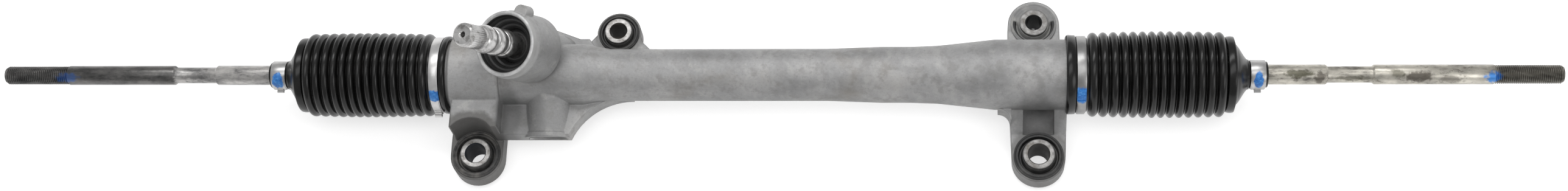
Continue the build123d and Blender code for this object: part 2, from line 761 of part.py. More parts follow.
def rack_bush():
    low = stop_right_x - bush_inset - bush_length
    high = stop_right_x - bush_inset
    ring = rod(along_rack(0), low, high, rack_r + run_fit + bush_wall)
    return ring - rod(along_rack(0), low - past, high + past, rack_r + run_fit)


# ---- ear bushings ----
def ear_sleeve(name):
    x, y, sleeve_r, bore_r, _, _ = ears[name]
    sleeve = upright(x, y, 0, sleeve_length, sleeve_r)
    if name == "upper_middle":
        hole = Pos(x, y, -past) * extrude(
            SlotOverall(mid_slot_length, 2 * mid_slot_r), sleeve_length + 2 * past)
        return sleeve - hole
    sleeve -= upright(x, y, -past, sleeve_length + past, bore_r)
    mouth = sleeve.edges().group_by(Axis.Z)[-1].sort_by(SortBy.RADIUS)[0]
    return chamfer(mouth, sleeve_chamfer)


def ear_rubber(name):
    x, y, sleeve_r, _, hole_r, _ = ears[name]
    inner = sleeve_r + seat_fit
    outer = hole_r - seat_fit
    low, high = ear_low - rubber_proud, ear_high + rubber_proud
    outline = [
        (low, inner), (low, inner + rubber_skin), (low + rubber_relief, inner + rubber_skin),
        (low + rubber_relief, outer - rubber_skin), (low, outer - rubber_skin),
        (low, hole_r + rubber_flange), (ear_low - 0.05, hole_r + rubber_flange), (ear_low - 0.05, outer),
        (ear_high + 0.05, outer), (ear_high + 0.05, hole_r + rubber_flange), (high, hole_r + rubber_flange),
        (high, outer - rubber_skin), (high - rubber_relief, outer - rubber_skin),
        (high - rubber_relief, inner + rubber_skin), (high, inner + rubber_skin), (high, inner),
    ]
    if outer - inner < 2 * rubber_skin + 0.5:
        outline = [
            (low, inner), (low, hole_r + rubber_flange), (ear_low - 0.05, hole_r + rubber_flange),
            (ear_low - 0.05, outer), (ear_high + 0.05, outer), (ear_high + 0.05, hole_r + rubber_flange),
            (high, hole_r + rubber_flange), (high, inner),
        ]
    return turned(Pos(x, y, 0) * Plane.XY, outline)


# ---- ends: ball joints, tie rods, boots. Left pieces are built along -X, right ones along +X ----
def end_frame(side):
    """Plane at the rack end whose z points outwards along the rack."""
    if side == "left":
        return Plane(origin=(rack_left_x, rack_y, rack_z), x_dir=(0, 1, 0), z_dir=(-1, 0, 0))
    return Plane(origin=(rack_right_x, rack_y, rack_z), x_dir=(0, 1, 0), z_dir=(1, 0, 0))


def shoulder_frame(side):
    """Plane at the boot shoulder of the housing whose z points outwards."""
    if side == "left":
        return Plane(origin=(shoulder_left_x, rack_y, rack_z), x_dir=(0, 1, 0), z_dir=(-1, 0, 0))
    return Plane(origin=(shoulder_right_x, rack_y, rack_z), x_dir=(0, 1, 0), z_dir=(1, 0, 0))


def opening_r(z, extra):
    """Radius of the cone that the rod's neck sweeps at z outwards from the ball centre."""
    return rod_neck_r / cos(radians(swing)) + z * tan(radians(swing)) + extra


def lock_washer(side):
    """Washer under the ball joint with two tabs bent over the socket."""
    plane = end_frame(side)
    washer = rod(plane, 0, washer_width, washer_r) - rod(plane, -past, washer_width + past, socket_stud_r + soft_gap)
    for turn in (0, 180):
        tab = plane * Rot(0, 0, turn) * Pos(washer_r - 0.6, 0, 0) * Box(
            washer_tab_wall, washer_tab_width, washer_tab, align=(Align.MIN, Align.CENTER, Align.MIN))
        washer += tab
    keep_out = rod(plane, washer_width, washer_width + washer_tab, socket_r + seat_fit)
    return washer - keep_out


def ball_socket(side):
    """Steel socket screwed into the rack, with its edge rolled over the ball seat."""
    plane = end_frame(side)
    low = washer_width
    high = low + socket_length
    mouth = ball_offset + ball_r * seat_cover
    seat_r = ball_r + run_fit + seat_wall + run_fit
    floor = ball_offset - ball_r - run_fit - seat_wall - run_fit
    outline = [
        (low - washer_width - socket_stud_length, 0),
        (low - washer_width - socket_stud_length, socket_stud_r - 1),
        (low - washer_width - socket_stud_length + 1, socket_stud_r),
        (low, socket_stud_r),
        (low, socket_r - socket_edge),
        (low + socket_edge, socket_r),
        (high - socket_roll_length, socket_r),
        (high, socket_r - socket_roll),
        (high, opening_r(high - ball_offset, swing_clear)),
        (mouth, opening_r(mouth - ball_offset, swing_clear)),
        (mouth, seat_r),
        (floor, seat_r),
        (floor, 0),
    ]
    return turned(plane, outline)


def ball_seat(side):
    """Plastic seat that wraps the ball."""
    plane = end_frame(side)
    outer = ball_r + run_fit + seat_wall
    low = ball_offset - ball_r - run_fit - seat_wall
    high = ball_offset + ball_r * seat_cover - run_fit
    seat = rod(plane, low, high, outer)
    seat -= plane * Pos(0, 0, ball_offset) * Sphere(ball_r + run_fit)
    mouth = [
        (ball_offset, 0),
        (ball_offset, opening_r(0, swing_clear)),
        (high + past, opening_r(high + past - ball_offset, swing_clear)),
        (high + past, 0),
    ]
    seat -= turned(plane, mouth)
    relief = rod(plane, low - past, low + seat_wall + 0.5, 4.0)
    return seat - relief


def tie_rod(side):
    """Forged rod with its ball, a narrow wrench neck and a threaded outer end."""
    plane = end_frame(side)
    z = ball_offset
    neck_start = z + sqrt(ball_r ** 2 - rod_neck_r ** 2)
    inner_end = z + boot_end + small_clamp_width / 2 + rod_inner_length
    neck_end = inner_end + wrench_neck_length
    body_end = neck_end + rod_body_length
    tip = body_end + thread_length
    outline = [
        (neck_start - 1, 0),
        (neck_start - 1, rod_neck_r),
        (z + rod_shank_start - 7, rod_neck_r),
        (z + rod_shank_start, rod_inner_r),
        (inner_end - rod_step, rod_inner_r),
        (inner_end, wrench_neck_r),
        (neck_end, wrench_neck_r),
        (neck_end + rod_step, rod_body_r),
        (body_end - 0.6, rod_body_r),
        (body_end, thread_r),
        (tip - thread_lead, thread_r),
        (tip, thread_r - thread_lead),
        (tip, 0),
    ]
    return turned(plane, outline) + plane * Pos(0, 0, z) * Sphere(ball_r)


def boot_ends(side):
    """Distances from the boot shoulder to the small clamp's middle."""
    if side == "left":
        clamp = shoulder_left_x - (rack_left_x - ball_offset - boot_end)
    else:
        clamp = rack_right_x + ball_offset + boot_end - shoulder_right_x
    return clamp


def convolutions(start, end):
    """Crest and root places along the boot; the end pitches are a little wider."""
    count = boot_convolutions
    weights = [1 + (boot_pitch_end - 1) * abs(2 * (i + 0.5) / count - 1) for i in range(count)]
    unit = (end - start) / sum(weights)
    z = start
    places = []
    for i, weight in enumerate(weights):
        width = weight * unit
        crest = boot_crest_r if i < count - 1 else boot_end_crest_r
        places.append((z + width / 2, crest, z + width))
        z += width
    return places


def bellows(side):
    """Rubber boot from the housing's spigot to the tie rod."""
    plane = shoulder_frame(side)
    clamp = boot_ends(side)
    mouth_r = spigot_r + spigot_bead + boot_fit
    band_r = mouth_r + boot_wall
    start = big_clamp_inset[side] + big_clamp_width / 2 + boot_start
    cuff_r = rod_inner_r + soft_gap
    cuff_low = clamp - cuff_length / 2
    cuff_high = clamp + cuff_length / 2
    end = cuff_low - boot_cone_length
    bead_high = big_clamp_inset[side] - big_clamp_width / 2 - soft_gap
    outer = [(boot_set_back, mouth_r), (boot_set_back, band_r + boot_lip),
             (bead_high - 1.0, band_r + boot_lip), (bead_high, band_r), (start - 1.0, band_r)]
    inner = [(start - 0.6, mouth_r)]
    root = boot_root_r + boot_wall
    outer.append((start, root))
    for crest_z, crest_r, root_z in convolutions(start, end):
        outer += [(crest_z - boot_crest_flat / 2, crest_r), (crest_z + boot_crest_flat / 2, crest_r), (root_z, root)]
        inner += [(crest_z, crest_r - boot_wall * boot_crest_wall), (root_z, boot_root_r)]
    outer[-1] = (end, root - 1.0)
    inner[-1] = (end - 0.2, boot_root_r - 1.2)
    outer += [(cuff_low, cuff_r + cuff_wall), (cuff_high, cuff_r + cuff_wall), (cuff_high, cuff_r)]
    inner.append((cuff_low - 1.0, cuff_r))
    return turned(plane, outer + inner[::-1])


def clamp_band(plane, mid, width, inner, wall):
    """Band clamp with a pinched ear on the side away from the pinion."""
    tip = inner + clamp_ear_height + wall
    ear = Pos(-tip / 2, 0) * Rectangle(tip, clamp_ear_width)
    hollow = Pos(-(tip - wall) / 2, 0) * Rectangle(tip - wall, clamp_ear_width - 2 * wall)
    band = Circle(inner + wall) + ear - Circle(inner) - hollow
    return plane * Pos(0, 0, mid - width / 2) * extrude(band, width)


def big_clamp(side):
    inner = spigot_r + spigot_bead + boot_fit + boot_wall + seat_fit
    return clamp_band(shoulder_frame(side), big_clamp_inset[side], big_clamp_width, inner, big_clamp_wall)


def small_clamp(side):
    inner = rod_inner_r + soft_gap + cuff_wall + soft_gap
    return clamp_band(shoulder_frame(side), boot_ends(side), small_clamp_width, inner, small_clamp_wall)


# ---- write one file per piece ----
nodes = {
    "rack_housing": rack_housing,
    "rack_bar": rack_bar,
    "pinion_shaft": pinion_shaft,
    "bearing_outer_race": bearing_outer_race,
    "bearing_inner_race": bearing_inner_race,
    "bearing_balls": bearing_balls_node,
    "bearing_cage": bearing_cage,
    "pinion_lower_bearing": pinion_lower_bearing,
    "shaft_circlip": shaft_circlip,
    "bore_snap_ring": bore_snap_ring,
    "pinion_seal": pinion_seal,
    "rack_guide": rack_guide,
    "guide_liner": guide_liner,
    "guide_o_ring": guide_o_ring,
    "guide_spring": guide_spring,
    "guide_plug": guide_plug,
    "rack_bush": rack_bush,
}
for ear in ears:
    nodes[f"sleeve_{ear}"] = lambda ear=ear: ear_sleeve(ear)
    nodes[f"rubber_{ear}"] = lambda ear=ear: ear_rubber(ear)
for side in ("left", "right"):
    nodes[f"lock_washer_{side}"] = lambda side=side: lock_washer(side)
    nodes[f"ball_socket_{side}"] = lambda side=side: ball_socket(side)
    nodes[f"ball_seat_{side}"] = lambda side=side: ball_seat(side)
    nodes[f"tie_rod_{side}"] = lambda side=side: tie_rod(side)
    nodes[f"bellows_{side}"] = lambda side=side: bellows(side)
    nodes[f"big_clamp_{side}"] = lambda side=side: big_clamp(side)
    nodes[f"small_clamp_{side}"] = lambda side=side: small_clamp(side)

for name, build in nodes.items():
    export_step(build(), f"parts/{name}.step")
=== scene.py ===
import json
import math

import bmesh
import bpy
from mathutils import Matrix, Vector


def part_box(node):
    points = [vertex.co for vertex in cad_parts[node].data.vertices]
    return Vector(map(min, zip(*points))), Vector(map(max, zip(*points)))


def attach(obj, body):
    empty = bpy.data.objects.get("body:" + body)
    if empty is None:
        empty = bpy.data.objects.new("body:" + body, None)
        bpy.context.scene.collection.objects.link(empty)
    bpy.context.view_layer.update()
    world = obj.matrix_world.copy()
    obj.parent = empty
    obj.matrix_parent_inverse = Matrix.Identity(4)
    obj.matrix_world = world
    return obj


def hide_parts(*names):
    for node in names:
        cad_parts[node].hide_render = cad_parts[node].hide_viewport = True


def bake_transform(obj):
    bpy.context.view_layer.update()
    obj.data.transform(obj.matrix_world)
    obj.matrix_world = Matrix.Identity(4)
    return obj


# Rack and pinion steering gear, seen from above and a little from the front.
# Metres, in the frame of the CAD model: +X along the rack, +Z along the mounting bolts.

MM = 0.001
FULL_TURN = 2 * math.pi
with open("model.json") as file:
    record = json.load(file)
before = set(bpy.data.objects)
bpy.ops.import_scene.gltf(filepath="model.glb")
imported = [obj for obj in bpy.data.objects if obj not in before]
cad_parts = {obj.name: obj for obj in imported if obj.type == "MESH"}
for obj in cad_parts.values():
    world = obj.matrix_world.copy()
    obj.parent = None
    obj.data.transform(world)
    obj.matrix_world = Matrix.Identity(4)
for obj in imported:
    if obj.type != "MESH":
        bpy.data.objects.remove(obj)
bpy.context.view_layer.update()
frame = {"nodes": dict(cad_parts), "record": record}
nodes = frame["nodes"]
SIDES = ("left", "right")
EARS = ("lower_left", "lower_right", "upper_right", "upper_middle")

# ---- camera: the photograph's viewing direction and distance ----
PHOTO_WIDTH = 2576                 # pixels
FOCAL_PIXELS = 3478
SENSOR_WIDTH = 36.0                # millimetres
TILT = math.radians(21.8)          # of the viewing direction from +Z towards -Y
SWING = math.radians(4.6)          # and towards +X
CAMERA_DISTANCE = 1.6
LOOK_AT = Vector((0.2340, 0.0591, 0.035))
LOOK_SHIFT = 0.0152                # the middle of the view lies this far below LOOK_AT


# ---- places read from the CAD ----
def middle(node):
    low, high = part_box(node)
    return (Vector(low) + Vector(high)) / 2


def radius(node):
    """Half the width of a node that is round about +Z."""
    low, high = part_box(node)
    return (high[0] - low[0]) / 2


def side_sign(side):
    return -1 if side == "left" else 1


RACK_Y = middle("rack_bar").y
RACK_Z = middle("rack_bar").z
PINION = next(j for j in frame["record"]["behaviour"]["joints"] if j["name"] == "pinion_turn")
PINION_MID = Vector(PINION["pos_m"])
PINION_AXIS = Vector(PINION["axis"]).normalized()
PINION_SIDE = PINION_AXIS.cross(Vector((1, 0, 0))).normalized()
PINION_UP = PINION_AXIS.cross(PINION_SIDE)
UPRIGHT = Vector((0, 0, 1))
BOOT_SET_BACK = 1.6 * MM           # mouth of the boot to the casting's shoulder
SHOULDER = {"left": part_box("bellows_left")[1][0] + BOOT_SET_BACK,
            "right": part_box("bellows_right")[0][0] - BOOT_SET_BACK}
BALL = {side: middle("ball_seat_" + side).x for side in SIDES}
SMALL_CLAMP = {side: middle("small_clamp_" + side).x for side in SIDES}
BIG_CLAMP = {side: middle("big_clamp_" + side).x for side in SIDES}
VIEW_OUT = Vector((0, -math.sin(TILT), math.cos(TILT)))
VIEW_DOWN = Vector((0, -math.cos(TILT), -math.sin(TILT)))


def on_rack(x, r, angle):
    """Point at radius r round the rack, angle from the side that faces the camera towards its lower edge."""
    return Vector((x, RACK_Y, RACK_Z)) + (VIEW_OUT * math.cos(angle) + VIEW_DOWN * math.sin(angle)) * r


# ---- materials ----
class Nodes:
    """Small helper that adds and links shader nodes."""

    def __init__(self, name):
        self.material = bpy.data.materials.new(name)
        self.material.use_nodes = True
        self.tree = self.material.node_tree
        self.shader = self.tree.nodes["Principled BSDF"]
        self.place = self.tree.nodes.new("ShaderNodeTexCoord").outputs["Object"]

    def set(self, **values):
        """Constants on the shader's own sockets; an underscore stands for a space."""
        for key, value in values.items():
            self.shader.inputs[key.replace("_", " ")].default_value = value

    def add(self, kind, **settings):
        """New node; a setting is an input of that name or else a property."""
        node = self.tree.nodes.new(kind)
        for key, value in settings.items():
            if key in node.inputs:
                node.inputs[key].default_value = value
            else:
                setattr(node, key, value)
        return node

    def link(self, a, b):
        self.tree.links.new(a, b)

    def drive(self, source, socket):
        self.link(source, self.shader.inputs[socket])

    def math(self, operation, a, b=0.0, c=0.0):
        node = self.add("ShaderNodeMath", operation=operation)
        for socket, value in zip(node.inputs, (a, b, c)):
            if isinstance(value, (int, float)):
                socket.default_value = value
            else:
                self.link(value, socket)
        return node.outputs[0]

    def vector(self, operation, a, b=None, out=0):
        """Vector maths; out 0 is the vector result and 1 the number."""
        node = self.add("ShaderNodeVectorMath", operation=operation)
        for socket, value in zip(node.inputs, (a, b)):
            if value is None:
                continue
            if isinstance(value, (tuple, Vector)):
                socket.default_value = tuple(value)
            else:
                self.link(value, socket)
        return node.outputs[out]

    def noise(self, scale, detail=3.0, roughness=0.6, stretch=None):
        """Noise from 0 to 1; a stretch under 1 draws it out along that axis."""
        node = self.add("ShaderNodeTexNoise", Scale=scale, Detail=detail, Roughness=roughness)
        place = self.place
        if stretch:
            place = self.vector("MULTIPLY", place, stretch)
        self.link(place, node.inputs["Vector"])
        return node.outputs["Fac"]

    def ramp(self, source, stops):
        """Colours of (position, colour) stops along a value."""
        node = self.add("ShaderNodeValToRGB")
        elements = node.color_ramp.elements
        while len(elements) < len(stops):
            elements.new(0.5)
        for element, (position, colour) in zip(elements, stops):
            element.position = position
            element.color = (*colour, 1.0)
        self.link(source, node.inputs["Fac"])
        return node.outputs["Color"]

    def step(self, source, low, high):
        """0 below low, 1 above high, smooth between them."""
        node = self.add("ShaderNodeMapRange", interpolation_type="SMOOTHSTEP")
        node.inputs["From Min"].default_value = low
        node.inputs["From Max"].default_value = high
        self.link(source, node.inputs["Value"])
        return node.outputs["Result"]

    def mix(self, factor, a, b, blend="MIX"):
        node = self.add("ShaderNodeMix", data_type="RGBA", blend_type=blend)
        sockets = (node.inputs["Factor"], *(i for i in node.inputs if i.type == "RGBA"))
        for socket, value in zip(sockets, (factor, a, b)):
            if isinstance(value, (int, float)):
                socket.default_value = value
            elif isinstance(value, tuple):
                socket.default_value = (*value, 1.0)
            else:
                self.link(value, socket)
        return next(o for o in node.outputs if o.type == "RGBA")

    def cover(self, tone, mask, amount, colour):
        """Colour over a tone where a mask is, as strong as amount."""
        return self.mix(self.math("MULTIPLY", mask, amount), tone, colour)

    def bump(self, layers, edge=0.0):
        """Bump from (height, strength, distance) layers, over edges that are rounded off by edge."""
        normal = None
        if edge:
            bevel = self.add("ShaderNodeBevel", samples=8, Radius=edge)
            normal = bevel.outputs["Normal"]
        for height, strength, distance in layers:
            node = self.add("ShaderNodeBump", Strength=strength, Distance=distance)
            self.link(height, node.inputs["Height"])
            if normal is not None:
                self.link(normal, node.inputs["Normal"])
            normal = node.outputs["Normal"]
        self.drive(normal, "Normal")

    def spread(self, source, low, high):
        """A value from 0 to 1 as one from low to high."""
        node = self.add("ShaderNodeMapRange")
        node.inputs["To Min"].default_value = low
        node.inputs["To Max"].default_value = high
        self.link(source, node.inputs["Value"])
        return node.outputs["Result"]

    def spot(self, centre, size, ragged=0.35, scale=260, soft=0.12):
        """Mask of a blot round centre, size metres each way, with a ragged edge."""
        offset = self.vector("SUBTRACT", self.place, centre)
        scaled = self.vector("DIVIDE", offset, size)
        reach = self.vector("LENGTH", scaled, out=1)
        rough = self.math("MULTIPLY_ADD", self.noise(scale, 4, 0.6), ragged * 2, -ragged)
        return self.step(self.math("ADD", reach, rough), 1 + soft, 1 - soft)


def grey(value, warm=0.0):
    return (value * (1 + warm), value, value * (1 - warm))


def from_axis(n, centre, axis=UPRIGHT):
    """Distance along an axis and away from it."""
    offset = n.vector("SUBTRACT", n.place, centre)
    along = n.vector("DOT_PRODUCT", offset, axis, out=1)
    away = n.vector("LENGTH", n.vector("CROSS_PRODUCT", offset, axis), out=1)
    return along, away


RIM = 65.0 * MM                    # the tower's rim along the pinion axis, from its joint's place
COLLAR_R = 29.0 * MM               # the turned collar below the rim
BORE_MASK_R = 21.4 * MM
BORE_MASK_FROM = 26.0 * MM         # the bore is dark from here up along its axis
# Dark oily tone round each bushing: partly dirt, partly painted shade of the ears' undersides and crevices.
OIL_AND_SHADE = (0.06, 0.057, 0.052)
EAR_GRIME_AND_SHADE = {"lower_left": (25 * MM, 0.72), "lower_right": (23 * MM, 0.5),
             "upper_middle": (19.5 * MM, 0.45), "upper_right": (14 * MM, 0.3)}   # radius, amount
GRIME_AND_SHADE_SOFT = 2.5 * MM
GRIME_AND_SHADE_WANDER = 4.0 * MM
# Painted shade in the pocket of the lower right arm and in the recess right of the block.
PAINTED_RECESS_SHADOWS = (((0.425, 0.026, 0.03), (16 * MM, 16 * MM, 40 * MM), 0.6),
               ((0.026, 0.026, 0.03), (8 * MM, 26 * MM, 40 * MM), 0.6))   # centre, reach, amount


def ear_grime_and_shade(n, ear, reach):
    """Mask of oily dirt and painted shade on the casting round one bushing, with a ragged outer edge."""
    away = from_axis(n, middle("sleeve_" + ear))[1]
    wander = n.math("MULTIPLY_ADD", n.noise(140, 4, 0.6), 2 * GRIME_AND_SHADE_WANDER, -GRIME_AND_SHADE_WANDER)
    return n.step(n.math("ADD", away, wander), reach + GRIME_AND_SHADE_SOFT, reach - GRIME_AND_SHADE_SOFT)


def cast_aluminium():
    """Sand cast alloy: pale skin with dull grey blotches, oily stains and a fine grain, with painted shade
    round the bushings and in two recesses.
    """
    n = Nodes("cast_aluminium")
    blotch = n.noise(24, 6, 0.62)
    streak = n.noise(60, 4, 0.6, (0.35, 1.0, 1.0))
    sand = n.noise(620, 4, 0.7)
    grain = n.noise(1700, 2, 0.5)
    stain = n.noise(11, 5, 0.6)
    patch = n.noise(95, 5, 0.62)
    tone = n.ramp(blotch, [(0.32, grey(0.22)), (0.47, grey(0.3)), (0.58, grey(0.36, 0.01)),
                           (0.72, grey(0.43, 0.02))])
    tone = n.cover(tone, n.step(streak, 0.5, 0.68), 0.4, grey(0.19))
    tone = n.cover(tone, n.step(patch, 0.48, 0.66), 0.5, (0.19, 0.187, 0.18))
    tone = n.cover(tone, n.step(patch, 0.46, 0.3), 0.4, (0.42, 0.415, 0.4))
    tone = n.cover(tone, n.step(sand, 0.5, 0.75), 0.35, grey(0.14))
    tone = n.cover(tone, n.step(stain, 0.56, 0.7), 0.5, (0.24, 0.22, 0.19))
    # oily dirt round the bushings, partly painted shade
    for ear, (reach, amount) in EAR_GRIME_AND_SHADE.items():
        tone = n.cover(tone, ear_grime_and_shade(n, ear, reach), amount, OIL_AND_SHADE)
    # painted shade in the two recesses
    for centre, size, amount in PAINTED_RECESS_SHADOWS:
        tone = n.cover(tone, n.spot(centre, size, 0.45, 60, 0.4), amount, grey(0.1))
    along, away = from_axis(n, PINION_MID, PINION_AXIS)
    inside = n.step(away, BORE_MASK_R + 0.15 * MM, BORE_MASK_R)
    bore = n.math("MULTIPLY", inside, n.step(along, BORE_MASK_FROM, BORE_MASK_FROM + 1 * MM))
    near = n.step(away, COLLAR_R + 1 * MM, COLLAR_R)
    face = n.math("MULTIPLY", n.step(along, RIM - 0.9 * MM, RIM - 0.4 * MM), near)
    collar = n.math("MULTIPLY", n.step(along, RIM - 12 * MM, RIM - 2 * MM), near)
    tone = n.cover(tone, collar, 0.45, grey(0.5, 0.01))
    tone = n.cover(tone, face, 0.7, n.ramp(patch, [(0.4, grey(0.4)), (0.6, grey(0.68))]))
    tone = n.mix(bore, tone, grey(0.03))
    n.drive(tone, "Base Color")
    n.drive(n.math("MULTIPLY_ADD", bore, -0.3, 0.3), "Metallic")
    n.drive(n.spread(blotch, 0.42, 0.62), "Roughness")
    n.bump([(stain, 0.25, 1.2 * MM), (patch, 0.18, 0.8 * MM), (sand, 0.4, 0.2 * MM), (grain, 0.3, 0.1 * MM)],
           edge=1.6 * MM)
    return n.material


def machined_steel(name, light, dark, roughness=(0.22, 0.4), warm=0.0, dirt=0.0):
    """Ground or turned metal with faint smears; dirt is the strength of its oily spots."""
    n = Nodes(name)
    smear = n.noise(60, 5, 0.6)
    fine = n.noise(900, 3, 0.6)
    tone = n.ramp(smear, [(0.3, grey(dark, warm)), (0.7, grey(light, warm))])
    if dirt:
        grime = n.noise(190, 5, 0.65)
        tone = n.cover(tone, n.step(grime, 0.5, 0.62), dirt, (0.07, 0.06, 0.05))
    n.drive(tone, "Base Color")
    n.set(Metallic=0.9)
    n.drive(n.spread(smear, roughness[1], roughness[0]), "Roughness")
    n.bump([(smear, 0.3, 0.2 * MM), (fine, 0.25, 0.08 * MM)], edge=0.3 * MM)
    return n.material


# Each sleeve's wall, the tone of its face and the colour of its bore, which is painted near black as the
# shade inside it.
SLEEVES = {
    "lower_left": (3.6 * MM, 0.5, (0.02, 0.023, 0.03)),
    "lower_right": (3.6 * MM, 0.3, (0.05, 0.048, 0.045)),
    "upper_middle": (3.6 * MM, 0.46, (0.025, 0.023, 0.02)),
    "upper_right": (4.4 * MM, 0.27, (0.02, 0.02, 0.02)),
}


def sleeve_steel(ear):
    """Turned sleeve with a dusty face and a bore painted near black as shade."""
    n = Nodes("sleeve_steel_" + ear)
    wall, light, bore_shade_colour = SLEEVES[ear]
    away = from_axis(n, middle("sleeve_" + ear))[1]
    outer_r = radius("sleeve_" + ear)
    bore_r = outer_r - wall
    grime = n.noise(210, 5, 0.65)
    rings = n.noise(500, 2, 0.5)
    tone = n.ramp(grime, [(0.38, grey(light, 0.02)), (0.54, grey(light * 0.6, 0.03)),
                          (0.66, (0.12, 0.11, 0.095))])
    # the bore is painted near black: painted shade inside the sleeve
    bore = n.step(away, bore_r + 0.5 * MM, bore_r + 0.1 * MM)
    tone = n.mix(bore, tone, bore_shade_colour)
    edge = n.step(away, outer_r - 1.0 * MM, outer_r - 0.5 * MM)
    tone = n.cover(tone, edge, 0.5, grey(0.1))
    n.drive(tone, "Base Color")
    n.drive(n.math("MULTIPLY_ADD", bore, -0.7, 0.7), "Metallic")
    n.drive(n.math("MULTIPLY_ADD", bore, -0.45, 0.5), "Specular IOR Level")
    n.drive(n.spread(grime, 0.35, 0.55), "Roughness")
    n.bump([(grime, 0.25, 0.3 * MM), (rings, 0.2, 0.1 * MM)], edge=0.5 * MM)
    return n.material


ROD_SOFT = 2.0 * MM                # half the stretch over which the rod's shade changes


def rod_steel(name, stops, stain, stain_from, metallic, dark_at, dark_shade, blots):
    """Forged rod: mottled scale along the bar, stains, blots and a darker outer end."""
    n = Nodes(name)
    mottle = n.noise(120, 7, 0.7, (0.4, 1.0, 1.0))
    spots = n.noise(230, 5, 0.65, (0.5, 1.0, 1.0))
    fine = n.noise(900, 3, 0.6, (0.25, 1.0, 1.0))
    tone = n.ramp(mottle, stops)
    place = n.add("ShaderNodeSeparateXYZ")
    n.link(n.place, place.inputs[0])
    x = n.math("ADD", place.outputs["X"], n.math("MULTIPLY_ADD", mottle, 10 * MM, -5 * MM))
    low, high = dark_at
    past_low = n.step(x, low - ROD_SOFT, low + ROD_SOFT)
    past_high = n.step(x, high + ROD_SOFT, high - ROD_SOFT)
    tone = n.mix(n.math("MULTIPLY", past_low, past_high), tone, grey(dark_shade), "MULTIPLY")
    tone = n.cover(tone, n.step(spots, stain_from, stain_from + 0.1), 0.6, stain)
    for centre, size, colour, amount in blots:
        tone = n.cover(tone, n.spot(centre, size, 1.1, 260, 0.35), amount, colour)
    n.drive(tone, "Base Color")
    n.set(Metallic=metallic)
    n.drive(n.spread(mottle, 0.5, 0.22), "Roughness")
    n.bump([(mottle, 0.2, 0.3 * MM), (fine, 0.25, 0.1 * MM)])
    return n.material


def crescent(n, centre, r, width):
    """Mask of a moulded gap that runs round the lower half of a bush, wider at its two ends, painted near
    black as the shade inside it.
    """
    away = from_axis(n, centre)[1]
    offset = n.vector("SUBTRACT", n.place, centre)
    drop = n.math("DIVIDE", n.vector("DOT_PRODUCT", offset, (0, -1, 0), out=1), away)
    reach = n.math("MULTIPLY", n.step(drop, 0.75, -0.1), 0.9 * width)
    half = n.math("ADD", reach, width * 0.5)
    off = n.math("ABSOLUTE", n.math("SUBTRACT", away, r))
    gap = n.step(n.math("SUBTRACT", off, half), 0.2 * MM, -0.2 * MM)
    return n.math("MULTIPLY", gap, n.step(drop, -0.25, -0.15))


def rubber(name, tone, roughness, dust, grain, dust_tone=(0.3, 0.285, 0.26), gloss=0.5, gap=None):
    """Rubber under a film of dust; gap gives centre, radius and width of a moulded crescent, painted near
    black as shade.
    """
    n = Nodes(name)
    film = n.noise(75, 5, 0.65)
    speck = n.noise(600, 3, 0.65)
    colour = n.cover(grey(tone), n.step(film, 0.38, 0.68), dust, dust_tone)
    if gap:
        # painted shade: the moulded gap is coloured near black
        colour = n.mix(crescent(n, *gap), colour, grey(0.02))
    n.drive(colour, "Base Color")
    n.set(Specular_IOR_Level=gloss)
    n.drive(n.spread(film, roughness - 0.05, roughness + 0.12), "Roughness")
    n.bump([(film, grain, 0.3 * MM), (speck, grain, 0.1 * MM)])
    return n.material


BLUE = ((0.012, 0.10, 0.36), (0.03, 0.2, 0.56), (0.16, 0.36, 0.66))   # thick to thin paint


def band_steel(name, light, paint_at=None, paint_size=(1, 1, 1)):
    """Bright rolled strip, brushed along its width, with a dab of blue inspection paint."""
    n = Nodes(name)
    brush = n.noise(300, 4, 0.6, (5.0, 0.5, 0.5))
    blotch = n.noise(80, 4, 0.55)
    tone = n.ramp(blotch, [(0.35, grey(light * 0.7)), (0.65, grey(light, 0.01))])
    n.drive(n.spread(brush, 0.26, 0.42), "Roughness")
    if paint_at is not None:
        mask = n.spot(paint_at, paint_size, 0.45, 330)
        paint = n.ramp(n.noise(420, 4, 0.65), [(0.35, BLUE[0]), (0.55, BLUE[1]), (0.75, BLUE[2])])
        tone = n.mix(mask, tone, paint)
        n.drive(n.math("MULTIPLY_ADD", mask, -0.85, 0.88), "Metallic")
    else:
        n.set(Metallic=0.88)
    n.drive(tone, "Base Color")
    n.bump([(brush, 0.2, 0.1 * MM), (blotch, 0.2, 0.4 * MM)])
    return n.material


def plastic(name, colour, roughness=0.45):
    """Moulded plastic with faint flow marks."""
    n = Nodes(name)
    flow = n.noise(120, 3, 0.5)
    darker = tuple(c * 0.8 for c in colour)
    n.drive(n.mix(n.spread(flow, 0.0, 0.25), colour, darker), "Base Color")
    n.drive(n.spread(flow, roughness - 0.05, roughness + 0.1), "Roughness")
    n.bump([(n.noise(900, 2, 0.5), 0.1, 0.05 * MM)])
    return n.material


CAST = cast_aluminium()
GROUND_STEEL = machined_steel("rack_steel", light=0.55, dark=0.38)
SHAFT_STEEL = machined_steel("shaft_steel", light=0.62, dark=0.3, roughness=(0.2, 0.4), warm=0.01, dirt=0.5)
BEARING_STEEL = machined_steel("bearing_steel", light=0.62, dark=0.5, roughness=(0.12, 0.22))
SPRING_STEEL = machined_steel("spring_steel", light=0.24, dark=0.12, roughness=(0.3, 0.45))
BRONZE = machined_steel("liner_bronze", light=0.5, dark=0.36, roughness=(0.3, 0.45), warm=0.3)
PLATED = band_steel("plated_steel", light=0.6)
BOOT = rubber("boot_rubber", tone=0.003, roughness=0.2, dust=0.015, grain=0.08, gloss=0.32)
BUSH = rubber("bush_rubber", tone=0.025, roughness=0.55, dust=0.75, grain=0.5, dust_tone=(0.16, 0.152, 0.14))
DARK_BUSH = rubber("bush_rubber_dark", tone=0.016, roughness=0.5, dust=0.5, grain=0.5,
                   dust_tone=(0.09, 0.088, 0.083))
